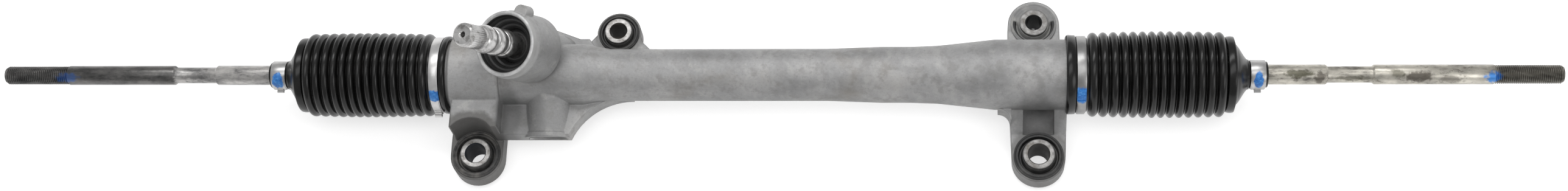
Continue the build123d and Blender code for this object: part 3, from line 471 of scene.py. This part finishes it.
# its crescent gap is painted near black as shade
DUSTY_BUSH = rubber("bush_rubber_dusty", tone=0.2, roughness=0.6, dust=0.95, grain=0.5,
                    dust_tone=(0.33, 0.325, 0.31), gap=(middle("rubber_upper_right"), 14.4 * MM, 0.9 * MM))
SEAL = rubber("seal_rubber", tone=0.03, roughness=0.4, dust=0.3, grain=0.2, dust_tone=(0.07, 0.07, 0.07))
NYLON = plastic("bearing_plastic", (0.72, 0.68, 0.56))

NODE_MATERIALS = {
    "rack_housing": CAST,
    "rack_bar": GROUND_STEEL,
    "pinion_shaft": SHAFT_STEEL,
    "bearing_outer_race": BEARING_STEEL,
    "bearing_inner_race": BEARING_STEEL,
    "bearing_balls": BEARING_STEEL,
    "bearing_cage": NYLON,
    "pinion_lower_bearing": BEARING_STEEL,
    "shaft_circlip": SPRING_STEEL,
    "bore_snap_ring": SPRING_STEEL,
    "pinion_seal": SEAL,
    "rack_guide": CAST,
    "guide_liner": BRONZE,
    "guide_o_ring": SEAL,
    "guide_spring": SPRING_STEEL,
    "guide_plug": PLATED,
    "rack_bush": NYLON,
}
for ear in EARS:
    NODE_MATERIALS["sleeve_" + ear] = sleeve_steel(ear)
for side in SIDES:
    NODE_MATERIALS["lock_washer_" + side] = PLATED
    NODE_MATERIALS["ball_socket_" + side] = GROUND_STEEL
    NODE_MATERIALS["ball_seat_" + side] = NYLON

for name, material in NODE_MATERIALS.items():
    mesh = nodes[name].data
    mesh.materials.clear()
    mesh.materials.append(material)


# ---- mesh helpers ----
def new_piece(name, bm, material, body):
    """Turns a bmesh into a smooth piece that rides on a body; body None leaves that to the caller."""
    bmesh.ops.recalc_face_normals(bm, faces=bm.faces)
    mesh = bpy.data.meshes.new(name)
    bm.to_mesh(mesh)
    bm.free()
    mesh.materials.append(material)
    for polygon in mesh.polygons:
        polygon.use_smooth = True
    obj = bpy.data.objects.new(name, mesh)
    bpy.context.scene.collection.objects.link(obj)
    if body:
        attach(obj, body)
    return obj


def sharpen(obj, angle=32):
    """Smooth shading that breaks at edges sharper than angle."""
    mesh = obj.data
    bm = bmesh.new()
    bm.from_mesh(mesh)
    for edge in bm.edges:
        if len(edge.link_faces) == 2 and edge.calc_face_angle() > math.radians(angle):
            edge.smooth = False
    bm.to_mesh(mesh)
    bm.free()


def skin(rings, around=True):
    """Quads between closed rings of points; around joins the last ring to the first, else both are capped."""
    bm = bmesh.new()
    rows = [[bm.verts.new(point) for point in ring] for ring in rings]
    count = len(rows[0])
    for i in range(len(rows) if around else len(rows) - 1):
        a, b = rows[i], rows[(i + 1) % len(rows)]
        for j in range(count):
            k = (j + 1) % count
            bm.faces.new((a[j], a[k], b[k], b[j]))
    if not around:
        bm.faces.new(rows[0])
        bm.faces.new(list(reversed(rows[-1])))
    return bm


def lathe(profile, place, steps):
    """Turns a closed outline of (along, r) points about an axis; profile may be a function of the angle."""
    rings = []
    for i in range(steps):
        angle = FULL_TURN * i / steps
        points = profile(angle) if callable(profile) else profile
        rings.append([place(z, r * math.cos(angle), r * math.sin(angle)) for z, r in points])
    return skin(rings)


def plateau(phase, steepness, offset):
    """Height from 0 to 1 of a flat-topped ridge over one pitch."""
    return min(1.0, max(0.0, steepness * (1 - abs(2 * phase - 1)) - offset))


def outward(side, start_x):
    """Place function along the rack, outwards from start_x on one side."""
    sign = side_sign(side)
    return lambda z, across, up: Vector((start_x + sign * z, RACK_Y + across, RACK_Z + up))


def on_pinion(t, across, up):
    """Point t along the pinion axis and off it in the two directions across it."""
    return PINION_MID + PINION_AXIS * t + PINION_SIDE * across + PINION_UP * up


# ---- boots ----
BOOT_STEPS = 128
MOUTH_R = 26.75 * MM
MOUTH_WALL = 1.25 * MM
MOUTH_PLAY = 0.2 * MM
LIP_R = 29.8 * MM
LIP_FROM = {"left": 1.5 * MM, "right": -3.6 * MM}   # from the casting's shoulder; the right one laps over it
BIG_CLAMP_HALF = 3.4 * MM          # half the width of its seat on the boot
FIRST_ROOT = 1.6 * MM              # from the seat's edge to the first convolution
CREST_R = 31.4 * MM
BARREL = 1.0 * MM                  # the middle crests stand this much further out
ROOT_R = 27.2 * MM
LAST_CREST_R = 28.6 * MM
BOOT_SKIN = 1.2 * MM
CONVOLUTIONS = 15
END_PITCH = 0.22                   # the end convolutions are wider than the middle one by this share
WAVE_STEPS = 14
WAVE_ROUND = 0.5                   # power that makes the roots sharp and the crests round
SEAM = 0.2 * MM                    # between the two pieces of a boot
CUFF_R = 9.7 * MM
CUFF_BORE_R = 7.75 * MM
CUFF_HALF = 6.9 * MM               # from the small clamp's middle to the cuff's edge
CUFF_EDGE = 0.5 * MM
CUFF_ROLL = 0.4 * MM
CONE_R = 23.0 * MM                 # where the cone leaves the last convolution
CONE_END_R = CUFF_R + 1.5 * MM
CONE_STEPS = 12
CONE_BEND = 0.45                   # share of the S curve in the cone's outline; the rest is straight
CONE_FROM_CLAMP = 16.5 * MM        # from the small clamp's middle back to the last convolution


def convolution_edges(length):
    """Root places along the boot; the end pitches are a little wider."""
    weights = [1 + END_PITCH * abs(2 * (i + 0.5) / CONVOLUTIONS - 1) for i in range(CONVOLUTIONS)]
    unit = length / sum(weights)
    edges = [0.0]
    for weight in weights:
        edges.append(edges[-1] + weight * unit)
    return edges


def convolution_wave(z0, z1, root, crest):
    """One convolution without its end point: sharp root, steep sides and a round crest."""
    points = []
    for i in range(WAVE_STEPS):
        t = i / WAVE_STEPS
        points.append((z0 + (z1 - z0) * t, root + (crest - root) * math.sin(math.pi * t) ** WAVE_ROUND))
    return points


def boot_main(side):
    """Mouth and all convolutions but the last; returns its outer end and the last one's length too."""
    shoulder = SHOULDER[side]
    sign = side_sign(side)
    clamp_low = abs(BIG_CLAMP[side] - shoulder) - BIG_CLAMP_HALF
    clamp_high = clamp_low + 2 * BIG_CLAMP_HALF
    start = clamp_high + FIRST_ROOT
    end = abs(SMALL_CLAMP[side] - shoulder) - CONE_FROM_CLAMP
    edges = convolution_edges(end - start)
    band_r = MOUTH_R + MOUTH_WALL
    mouth_r = MOUTH_R + MOUTH_PLAY
    lip = LIP_FROM[side]
    outer = [(BOOT_SET_BACK, mouth_r), (lip, mouth_r), (lip + 0.1 * MM, LIP_R - 1.6 * MM),
             (lip + 0.5 * MM, LIP_R - 0.7 * MM), (lip + 1.2 * MM, LIP_R - 0.15 * MM), (lip + 2.1 * MM, LIP_R),
             (clamp_low - 1.0 * MM, LIP_R - 0.3 * MM), (clamp_low - 0.4 * MM, band_r + 0.3 * MM),
             (clamp_low, band_r), (clamp_high + 0.2 * MM, band_r)]
    wall_from = len(outer)
    for i in range(CONVOLUTIONS - 1):
        swell = BARREL * math.sin(math.pi * (i + 0.5) / CONVOLUTIONS)
        outer += convolution_wave(start + edges[i], start + edges[i + 1], ROOT_R, CREST_R + swell)
    split = start + edges[-2]
    outer.append((split, ROOT_R))
    inner = [(clamp_high, MOUTH_R)] + [(z, r - BOOT_SKIN) for z, r in outer[wall_from:]]
    bm = lathe(outer + inner[::-1], outward(side, shoulder), BOOT_STEPS)
    piece = new_piece("boot_" + side, bm, BOOT, None)
    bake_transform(piece)
    return piece, shoulder + sign * (split + SEAM), end - split


def boot_cone(side, start_x, fold):
    """Last convolution, the taper and the cuff under the small clamp."""
    length = abs(SMALL_CLAMP[side] - start_x)
    cuff_low = length - CUFF_HALF - CUFF_EDGE
    cuff_high = length + CUFF_HALF
    cuff_end = cuff_high + CUFF_ROLL
    outer = convolution_wave(0.0, fold, ROOT_R, LAST_CREST_R)[:-2]
    for i in range(CONE_STEPS + 1):
        t = i / CONE_STEPS
        drop = (1 - CONE_BEND) * t + CONE_BEND * t * t * (3 - 2 * t)
        outer.append((fold + (cuff_low - fold) * t, CONE_R + (CONE_END_R - CONE_R) * drop))
    wall = len(outer) - 1
    outer += [(cuff_low + 0.8 * MM, CONE_END_R - 0.1 * MM), (cuff_low + 1.5 * MM, CUFF_R),
              (cuff_high, CUFF_R), (cuff_end, CUFF_R - CUFF_EDGE), (cuff_end, CUFF_BORE_R)]
    inner = [(z, r - BOOT_SKIN) for z, r in outer[:wall]] + [(cuff_low + 1.5 * MM, CUFF_BORE_R)]
    bm = lathe(outer + inner[::-1], outward(side, start_x), BOOT_STEPS)
    piece = new_piece("boot_cone_" + side, bm, BOOT, None)
    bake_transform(piece)


# ---- clamps: a bright band with an overlapping tail and a pinched ear ----
BAND_STEPS = 96
BAND_WALL = 0.75 * MM
BAND_EDGE = 0.35 * MM              # rolled edge
TAIL_WALL = 0.55 * MM
TAIL_INSET = 0.5 * MM              # from each edge of the band
TAIL_TURN = 1.5                    # radians of the band that the tail laps
TAIL_STEPS = 36
EAR_WALL = 0.7 * MM
EAR_INSET = {"big_clamp": 0.12, "small_clamp": 0.28}   # from each edge, as a share of the band's width
# The ear's loop at scale 1: millimetres round the band and out from it.
EAR_SHAPE = ((-5.2, 0.0), (-2.6, 0.15), (-1.7, 0.8), (-1.5, 1.7), (-2.1, 2.6), (-1.6, 3.4), (0.0, 3.7),
             (1.6, 3.4), (2.1, 2.6), (1.5, 1.7), (1.7, 0.8), (2.6, 0.15), (5.2, 0.0))


def band_point(x, r, angle):
    """Point of a band; angle runs round the rack from +Z towards -Y."""
    return Vector((x, RACK_Y - r * math.sin(angle), RACK_Z + r * math.cos(angle)))


def band_ring(x0, x1, r, wall, start, turn, steps):
    """Strip bent round the rack from start through turn, with rolled edges."""
    half = BAND_EDGE / 2
    section = [(x0, r - wall), (x0, r - half), (x0 + BAND_EDGE, r),
               (x1 - BAND_EDGE, r), (x1, r - half), (x1, r - wall)]
    full = turn == FULL_TURN
    rings = []
    for i in range(steps if full else steps + 1):
        angle = start + turn * i / steps
        rings.append([band_point(x, point_r, angle) for x, point_r in section])
    return skin(rings, around=full)


def pinched_ear(x0, x1, r, angle, scale):
    """Folded loop of the strip that the pliers close."""
    out_of_band = Vector((0, -math.sin(angle), math.cos(angle)))
    round_band = Vector((0, -math.cos(angle), -math.sin(angle)))
    line = [Vector((u * scale * MM, v * scale * MM)) for u, v in EAR_SHAPE]
    rings = []
    for i, point in enumerate(line):
        tangent = (line[min(i + 1, len(line) - 1)] - line[max(i - 1, 0)]).normalized()
        normal = Vector((-tangent.y, tangent.x)) * EAR_WALL / 2
        over, under = point + normal, point - normal
        ring = []
        for corner, x in ((over, x0), (over, x1), (under, x1), (under, x0)):
            drop = r - math.sqrt(max(r * r - corner.x ** 2, 0.0))
            away = out_of_band * (r + corner.y - drop) + round_band * corner.x
            ring.append(Vector((x, RACK_Y, RACK_Z)) + away)
        rings.append(ring)
    return skin(rings, around=False)


def clamp(kind, side, body, ear_angle, ear_scale, paint_size, paint_angle, light):
    """Band, tail and ear of one clamp, with its dab of paint."""
    node = f"{kind}_{side}"
    low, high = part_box(node)
    x0, x1 = low[0], high[0]
    r = (high[2] - low[2]) / 2
    paint = on_rack((x0 + x1) / 2, r, paint_angle)
    material = band_steel("clamp_steel_" + node, light, paint, paint_size)
    bm = band_ring(x0, x1, r, BAND_WALL, 0.0, FULL_TURN, BAND_STEPS)
    band = new_piece(node + "_band", bm, material, body)
    sharpen(band)
    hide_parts(node)
    tail_r = r + TAIL_WALL
    bm = band_ring(x0 + TAIL_INSET, x1 - TAIL_INSET, tail_r, TAIL_WALL, ear_angle - TAIL_TURN, TAIL_TURN,
                   TAIL_STEPS)
    sharpen(new_piece(node + "_tail", bm, material, body))
    inset = (x1 - x0) * EAR_INSET[kind]
    bm = pinched_ear(x0 + inset, x1 - inset, tail_r, ear_angle, ear_scale)
    sharpen(new_piece(node + "_ear", bm, material, body), 50)


# ---- tie rods, measured outwards from the ball centre ----
ROD_STEPS = 56
AXIS_R = 0.02 * MM                 # the outline stops this far from the axis
BALL_R = 12.5 * MM
BALL_STEPS = 22
ROD_NECK_R = 5.75 * MM
SHANK_FROM = 24.0 * MM
INNER_R = 7.45 * MM
WRENCH_R = 6.1 * MM
BODY_R = 7.35 * MM
STEP = 1.3 * MM                    # length of the slope between two thicknesses
SOFT = 0.35 * MM                   # fillets at its two ends
STEPS = {"left": (124.2 * MM, 155.4 * MM, 242.2 * MM, 291.4 * MM),
         "right": (124.3 * MM, 156.6 * MM, 245.9 * MM, 294.7 * MM)}   # ends of shank, neck, body, thread
THREAD_R = 7.0 * MM
THREAD_DEPTH = 0.85 * MM
THREAD_PITCH = 1.5 * MM
THREAD_SAMPLES = 8                 # rings per turn
THREAD_LAP = 0.5 * MM              # how far it reaches into the body
THREAD_RUN_OUT = 2.0 * MM          # stretch before the tip where the ridge dies out
THREAD_TAPER = 0.5 * MM            # narrower by this at the tip
POINT_R = 0.0001 * MM              # radius of the rings that close its two ends


def rod_profile(side):
    """Ball, neck, shank, wrench neck and body, with small fillets at the steps."""
    shank_end, wrench_end, body_end = STEPS[side][:3]
    points = [(-BALL_R, AXIS_R)]
    last = math.acos(ROD_NECK_R / BALL_R)
    for i in range(1, BALL_STEPS + 1):
        angle = -math.pi / 2 + (math.pi / 2 + last) * i / BALL_STEPS
        points.append((BALL_R * math.sin(angle), BALL_R * math.cos(angle)))
    shoulder_drop = 0.12 * MM
    foot_rise = 0.3 * MM
    return points + [
        (SHANK_FROM, ROD_NECK_R), (SHANK_FROM + 3 * MM, ROD_NECK_R + 0.5 * MM),
        (SHANK_FROM + 7 * MM, INNER_R), (shank_end - STEP - SOFT, INNER_R),
        (shank_end - STEP, INNER_R - shoulder_drop), (shank_end - SOFT, WRENCH_R + foot_rise),
        (shank_end + SOFT, WRENCH_R), (wrench_end - SOFT, WRENCH_R),
        (wrench_end + SOFT, WRENCH_R + foot_rise), (wrench_end + STEP, BODY_R - shoulder_drop),
        (wrench_end + STEP + SOFT, BODY_R), (body_end - 1.5 * MM, BODY_R),
        (body_end, THREAD_R - THREAD_DEPTH), (body_end, AXIS_R)]


def thread(side):
    """Helical ridge of the outer end, dying out at the tip."""
    body_end, tip = STEPS[side][2:]
    low = body_end - THREAD_LAP
    count = int((tip - body_end) / THREAD_PITCH * THREAD_SAMPLES)
    place = outward(side, BALL[side])

    def ring(z, radii):
        angles = [FULL_TURN * j / ROD_STEPS for j in range(ROD_STEPS)]
        return [place(z, r * math.cos(angle), r * math.sin(angle)) for r, angle in zip(radii, angles)]

    def ridged(z):
        lead = min(1.0, (tip - z) / THREAD_RUN_OUT)
        radii = []
        for j in range(ROD_STEPS):
            ridge = plateau((z / THREAD_PITCH - j / ROD_STEPS) % 1.0, steepness=1.35, offset=0.15)
            radii.append(THREAD_R - THREAD_DEPTH * (1 - ridge * lead) - THREAD_TAPER * (1 - lead))
        return radii

    point = [POINT_R] * ROD_STEPS
    heights = [low + (tip - low) * i / count for i in range(count + 1)]
    return skin([ring(low, point), *(ring(z, ridged(z)) for z in heights), ring(tip, point)], around=False)


def tie_rod(side, material):
    bm = lathe(rod_profile(side), outward(side, BALL[side]), ROD_STEPS)
    piece = new_piece("rod_" + side, bm, material, "rod_" + side)
    sharpen(piece, 40)
    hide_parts("tie_rod_" + side)
    sharpen(new_piece("rod_thread_" + side, thread(side), material, "rod_" + side), 40)


# ---- bushings: a rubber ring with a lip, and grooves beside the sleeve ----
BUSHING_STEPS = 96
FLANGE_STEP = 2.2 * MM             # flange beyond the ear's hole
FLANGE_HEIGHT = 1.4 * MM
SLEEVE_GAP = 0.03 * MM
EAR_GAP = 0.05 * MM
OPEN_SHARPNESS = 6                 # how quickly the groove dies out at the edges of its side
# Outline of a face from the sleeve outwards, as shares of the width, of the climb and of the groove's depth.
BUSHING_FACE = ((0.0, 1.0, 0.0), (0.08, 1.0, 0.0), (0.16, 0.35, 0.35), (0.24, 0.0, 1.0), (0.38, 0.0, 1.0),
                (0.46, 0.0, 0.25), (0.52, 0.12, 0.0), (0.62, 0.22, 0.0), (0.74, 0.05, 0.0),
                (0.80, -0.25, 0.0), (0.86, 0.0, 0.0), (0.94, 0.05, 0.0), (1.0, -0.35, 0.0))


def bushing(ear, material, groove, open_half, climb):
    """Rubber of one ear; the groove covers the side towards -Y, out to the angle open_half from it.

    The climb is how far the face rises beside the sleeve.
    """
    node = "rubber_" + ear
    low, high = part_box(node)
    centre = middle(node)
    flange_r = radius(node)
    inner_r = radius("sleeve_" + ear) + SLEEVE_GAP
    hole_r = flange_r - FLANGE_STEP - EAR_GAP
    width = flange_r - inner_r
    top, bottom = high[2], low[2]
    ear_top, ear_bottom = top - FLANGE_HEIGHT + EAR_GAP, bottom + FLANGE_HEIGHT - EAR_GAP
    side_wall = [(ear_top, flange_r), (ear_top, hole_r), (ear_bottom, hole_r), (ear_bottom, flange_r)]

    def profile(angle):
        facing = -math.sin(angle)                       # 1 on the side towards -Y
        side_share = (facing - math.cos(open_half)) * OPEN_SHARPNESS
        depth = groove * (1.0 if open_half >= math.pi else min(1.0, max(0.0, side_share)))
        face = [(climb * rise - depth * cut, inner_r + width * share) for share, rise, cut in BUSHING_FACE]
        upper = [(top + z, r) for z, r in face]
        lower = [(bottom - z, r) for z, r in face]
        return upper + side_wall + lower[::-1]

    def place(z, across, up):
        return Vector((centre.x + across, centre.y + up, z))

    bm = lathe(profile, place, BUSHING_STEPS)
    piece = new_piece("bushing_" + ear, bm, material, "housing")
    sharpen(piece, 50)
    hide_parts(node)


# ---- pinion shaft: splined end, turned bands and the dust seal round it ----
SHAFT_END = 124.0 * MM
SPLINE_LENGTH = 23.5 * MM
SPLINE_SET_BACK = 1.6 * MM         # from the shaft's end
SPLINE_RUN_OUT = 2.5 * MM          # plain stretch at its inner end
SPLINE_COUNT = 36
SPLINE_SAMPLES = 6
SPLINE_R = 8.28 * MM
SPLINE_HEIGHT = 0.42 * MM
SPLINE_CORE_R = 7.6 * MM
BAND_COUNT = 3
BAND_SAMPLES = 10
SHAFT_STEPS = 64
BAND_R = 9.2 * MM
BAND_FOOT = 0.3 * MM               # a band's ends lie this much lower
BAND_CORE_R = 8.0 * MM
BAND_CROWN = 1.5 * MM
BAND_ROUND = 0.6                   # power that fills out the crown
BAND_PITCH = 14.0 * MM
BAND_GAP = 3.6 * MM
BAND_TO_SPLINE = 1.4 * MM
SEAL_STEPS = 96
SEAL_TOP = 48.0 * MM
SEAL_PLAY = 0.05 * MM
BORE_R = 21.0 * MM
# Steps of the seal's face, in millimetres from the tower's rim and from the bore.
SEAL_FACE = ((-4.4, -0.5), (-5.2, -1.1), (-8.0, -1.5), (-8.3, -3.0), (-7.6, -3.6), (-8.3, -4.2),
             (-11.5, -4.8), (-12.0, -6.2), (-11.4, -6.8), (-12.2, -7.4), (-15.4, -8.0))


def splines():
    low = SHAFT_END - SPLINE_LENGTH + SPLINE_RUN_OUT
    high = SHAFT_END - SPLINE_SET_BACK
    end_r = SPLINE_R - 0.25 * MM

    def profile(angle):
        phase = (angle * SPLINE_COUNT / FULL_TURN) % 1.0
        r = SPLINE_R + SPLINE_HEIGHT * plateau(phase, steepness=1.7, offset=0.35)
        return [(low, end_r), (low + 1.0 * MM, r), (high - 0.6 * MM, r), (high, end_r),
                (high, SPLINE_CORE_R), (low, SPLINE_CORE_R)]

    bm = lathe(profile, on_pinion, SPLINE_COUNT * SPLINE_SAMPLES)
    sharpen(new_piece("shaft_splines", bm, SHAFT_STEEL, "pinion"), 40)


def shaft_bands():
    """Crowned bands down the shaft, from the splines to the seal."""
    top = SHAFT_END - SPLINE_LENGTH
    for i in range(BAND_COUNT):
        high = top - i * BAND_PITCH - (BAND_TO_SPLINE if i == 0 else BAND_GAP / 2)
        low = top - (i + 1) * BAND_PITCH + BAND_GAP / 2
        profile = []
        for k in range(BAND_SAMPLES + 1):
            t = k / BAND_SAMPLES
            crown = BAND_CROWN * math.sin(math.pi * t) ** BAND_ROUND
            profile.append((low + (high - low) * t, BAND_R - BAND_FOOT + crown))
        profile += [(high, BAND_CORE_R), (low, BAND_CORE_R)]
        bm = lathe(profile, on_pinion, SHAFT_STEPS)
        sharpen(new_piece(f"shaft_band_{i + 1}", bm, SHAFT_STEEL, "pinion"), 40)


def dust_seal():
    """Dark rubber cup with stepped rings between the bore and the shaft."""
    wall_r = BORE_R - SEAL_PLAY
    floor = SEAL_TOP + SEAL_PLAY
    profile = [(floor, wall_r), (RIM - 4.6 * MM, wall_r)]
    profile += [(RIM + z * MM, BORE_R + r * MM) for z, r in SEAL_FACE]
    profile.append((floor, BORE_R - 8.2 * MM))
    piece = new_piece("dust_seal", lathe(profile, on_pinion, SEAL_STEPS), SEAL, "housing")
    sharpen(piece, 45)


# ---- colours and marks of single pieces ----
# The right big band is toned darker than the left, partly as painted shade over it.
BAND_TONE = {"left": 0.6, "right": 0.34}
SMALL_BAND_TONE = 0.5
PAINT_BIG = {"left": (6 * MM, 5.2 * MM, 5.2 * MM), "right": (7 * MM, 6.5 * MM, 6.5 * MM)}
PAINT_SMALL = {"left": (4.2 * MM, 6.5 * MM, 6.5 * MM), "right": (3.4 * MM, 7.0 * MM, 7.0 * MM)}
PAINT_BIG_AT = math.radians(33)    # round the rack, as in on_rack
PAINT_SMALL_AT = math.radians(25)
BIG_EAR_AT = {"left": math.radians(97), "right": math.radians(150)}   # round the rack, as in band_point
SMALL_EAR_AT = math.radians(104)
BIG_EAR_SCALE = 0.9
SMALL_EAR_SCALE = 0.55
RUST = (0.055, 0.045, 0.035)
OLIVE = (0.06, 0.058, 0.03)
PAST_TIP = 5 * MM                  # the dark end's mask runs on past the rod's tip


def beige(value):
    return (value * 1.05, value, value * 0.88)


def rod_x(side, z):
    return BALL[side] + side_sign(side) * z


def dark_span(side, start):
    """X places of a rod's dark end, which starts this far from the ball."""
    return sorted((rod_x(side, start), rod_x(side, STEPS[side][3] + PAST_TIP)))


def blot(side, z, r, angle, long, wide, colour, amount):
    """Place, size, colour and amount of a blot; z, long and wide are in millimetres."""
    return on_rack(rod_x(side, z * MM), r, angle), (long * MM, wide * MM, wide * MM), colour, amount


def left_rod_steel():
    """Grey rod, dark from the wrench neck's end outwards."""
    stops = [(0.32, grey(0.1)), (0.46, grey(0.28, 0.02)), (0.58, grey(0.44, 0.03)), (0.7, grey(0.55, 0.03))]
    blots = [blot("left", 241, BODY_R, 0.3, 8, 4, BLUE[0], 0.55),
             blot("left", 140, WRENCH_R, 0.2, 9, 2, grey(0.1), 0.6)]
    return rod_steel("rod_steel_left", stops, stain=grey(0.06), stain_from=0.56, metallic=0.7,
                     dark_at=dark_span("left", STEPS["left"][1]), dark_shade=0.3, blots=blots)


def right_rod_steel():
    """Pale rod with rusty and oily blots, dark at the thread."""
    stops = [(0.32, beige(0.14)), (0.46, beige(0.36)), (0.58, beige(0.5)), (0.7, beige(0.62))]
    blots = [blot("right", 103, INNER_R, -0.1, 10, 3, OLIVE, 0.75),
             blot("right", 118, INNER_R, 0.35, 4, 5, RUST, 0.75),
             blot("right", 190, BODY_R, 0.2, 9, 4, RUST, 0.8),
             blot("right", 174, BODY_R, -0.1, 5, 3, OLIVE, 0.6),
             blot("right", 212, BODY_R, 0.6, 7, 3, RUST, 0.5),
             blot("right", 143, WRENCH_R, 0.5, 14, 2, OLIVE, 0.5),
             blot("right", 243, BODY_R, 0.35, 5.5, 4, BLUE[1], 0.9)]
    return rod_steel("rod_steel_right", stops, stain=RUST, stain_from=0.57, metallic=0.75,
                     dark_at=dark_span("right", STEPS["right"][2]), dark_shade=0.34, blots=blots)


# ---- build the pieces ----
for side in SIDES:
    main, cone_x, fold = boot_main(side)
    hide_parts("bellows_" + side)
    boot_cone(side, cone_x, fold)

for side in SIDES:
    clamp("big_clamp", side, "housing", BIG_EAR_AT[side], BIG_EAR_SCALE, PAINT_BIG[side],
          PAINT_BIG_AT, BAND_TONE[side])
    clamp("small_clamp", side, "rod_" + side, SMALL_EAR_AT, SMALL_EAR_SCALE, PAINT_SMALL[side],
          PAINT_SMALL_AT, SMALL_BAND_TONE)

tie_rod("left", left_rod_steel())
tie_rod("right", right_rod_steel())

bushing("lower_left", BUSH, groove=3.2 * MM, open_half=math.pi, climb=1.1 * MM)
bushing("lower_right", DARK_BUSH, groove=3.0 * MM, open_half=math.pi, climb=1.1 * MM)
bushing("upper_middle", DARK_BUSH, groove=2.0 * MM, open_half=math.pi, climb=1.1 * MM)
bushing("upper_right", DUSTY_BUSH, groove=2.8 * MM, open_half=math.radians(100), climb=0.9 * MM)
splines()
shaft_bands()
dust_seal()


# ---- floor, light and camera ----
ROOM_LIGHT = 0.55
WHITE = 1.0
FLOOR_TONE = (0.62, 0.62, 0.62, 1)
FLOOR_GLOW = 0.62                  # added where the camera or a reflection looks at the floor
FLOOR_HALF = 6.0
FLOOR_DROP = 0.2 * MM
LIGHT_TARGET = (0.24, 0.06, 0.03)


def studio():
    """Even light from all round; what the camera sees of it is plain white."""
    world = bpy.data.worlds.new("studio")
    bpy.context.scene.world = world
    world.use_nodes = True
    tree = world.node_tree
    tree.nodes.clear()
    out = tree.nodes.new("ShaderNodeOutputWorld")
    mix = tree.nodes.new("ShaderNodeMixShader")
    soft = tree.nodes.new("ShaderNodeBackground")
    soft.inputs["Color"].default_value = (1, 1, 1, 1)
    soft.inputs["Strength"].default_value = ROOM_LIGHT
    white = tree.nodes.new("ShaderNodeBackground")
    white.inputs["Color"].default_value = (1, 1, 1, 1)
    white.inputs["Strength"].default_value = WHITE
    path = tree.nodes.new("ShaderNodeLightPath")
    tree.links.new(path.outputs["Is Camera Ray"], mix.inputs[0])
    tree.links.new(soft.outputs[0], mix.inputs[1])
    tree.links.new(white.outputs[0], mix.inputs[2])
    tree.links.new(mix.outputs[0], out.inputs["Surface"])


def floor_material():
    """Pale floor that keeps the shadow and is lifted to near white where it is seen."""
    material = bpy.data.materials.new("studio_floor")
    material.use_nodes = True
    tree = material.node_tree
    tree.nodes.clear()
    out = tree.nodes.new("ShaderNodeOutputMaterial")
    diffuse = tree.nodes.new("ShaderNodeBsdfDiffuse")
    diffuse.inputs["Color"].default_value = FLOOR_TONE
    glow = tree.nodes.new("ShaderNodeEmission")
    path = tree.nodes.new("ShaderNodeLightPath")
    seen = tree.nodes.new("ShaderNodeMath")
    seen.operation = "MAXIMUM"
    scale = tree.nodes.new("ShaderNodeMath")
    scale.operation = "MULTIPLY"
    scale.inputs[1].default_value = FLOOR_GLOW
    add = tree.nodes.new("ShaderNodeAddShader")
    tree.links.new(path.outputs["Is Camera Ray"], seen.inputs[0])
    tree.links.new(path.outputs["Is Glossy Ray"], seen.inputs[1])
    tree.links.new(seen.outputs[0], scale.inputs[0])
    tree.links.new(scale.outputs[0], glow.inputs["Strength"])
    tree.links.new(diffuse.outputs[0], add.inputs[0])
    tree.links.new(glow.outputs[0], add.inputs[1])
    tree.links.new(add.outputs[0], out.inputs["Surface"])
    return material


def make_floor():
    bm = bmesh.new()
    for x, y in ((-1, -1), (1, -1), (1, 1), (-1, 1)):
        bm.verts.new((x * FLOOR_HALF, y * FLOOR_HALF, -FLOOR_DROP))
    bm.faces.new(bm.verts)
    mesh = bpy.data.meshes.new("floor")
    bm.to_mesh(mesh)
    bm.free()
    mesh.materials.append(floor_material())
    obj = bpy.data.objects.new("floor", mesh)
    bpy.context.scene.collection.objects.link(obj)


def softbox(name, place, width, height, power):
    light = bpy.data.lights.new(name, "AREA")
    light.shape = "RECTANGLE"
    light.size = width
    light.size_y = height
    light.energy = power
    obj = bpy.data.objects.new(name, light)
    obj.location = place
    obj.rotation_euler = (Vector(LIGHT_TARGET) - Vector(place)).to_track_quat("-Z", "Y").to_euler()
    bpy.context.scene.collection.objects.link(obj)


def make_camera():
    towards = VIEW_OUT * math.cos(SWING) + Vector((1, 0, 0)) * math.sin(SWING)
    right = Vector((1, 0, 0)) * math.cos(SWING) - VIEW_OUT * math.sin(SWING)
    up = -VIEW_DOWN
    data = bpy.data.cameras.new("camera")
    data.sensor_width = SENSOR_WIDTH
    data.lens = SENSOR_WIDTH * FOCAL_PIXELS / PHOTO_WIDTH
    data.clip_end = 20
    obj = bpy.data.objects.new("camera", data)
    axes = Matrix((right, up, towards)).transposed().to_4x4()
    target = LOOK_AT - up * LOOK_SHIFT
    obj.matrix_world = Matrix.Translation(target + towards * CAMERA_DISTANCE) @ axes
    bpy.context.scene.collection.objects.link(obj)
    bpy.context.scene.camera = obj


studio()
make_floor()
softbox("key", (0.1, 0.9, 1.5), width=1.8, height=0.4, power=12)
softbox("overhead", (0.3, -0.2, 2.2), width=2.4, height=0.9, power=14)
softbox("side", (1.6, -0.8, 0.9), width=0.8, height=0.8, power=5)
make_camera()
bpy.context.scene.view_settings.view_transform = "Standard"
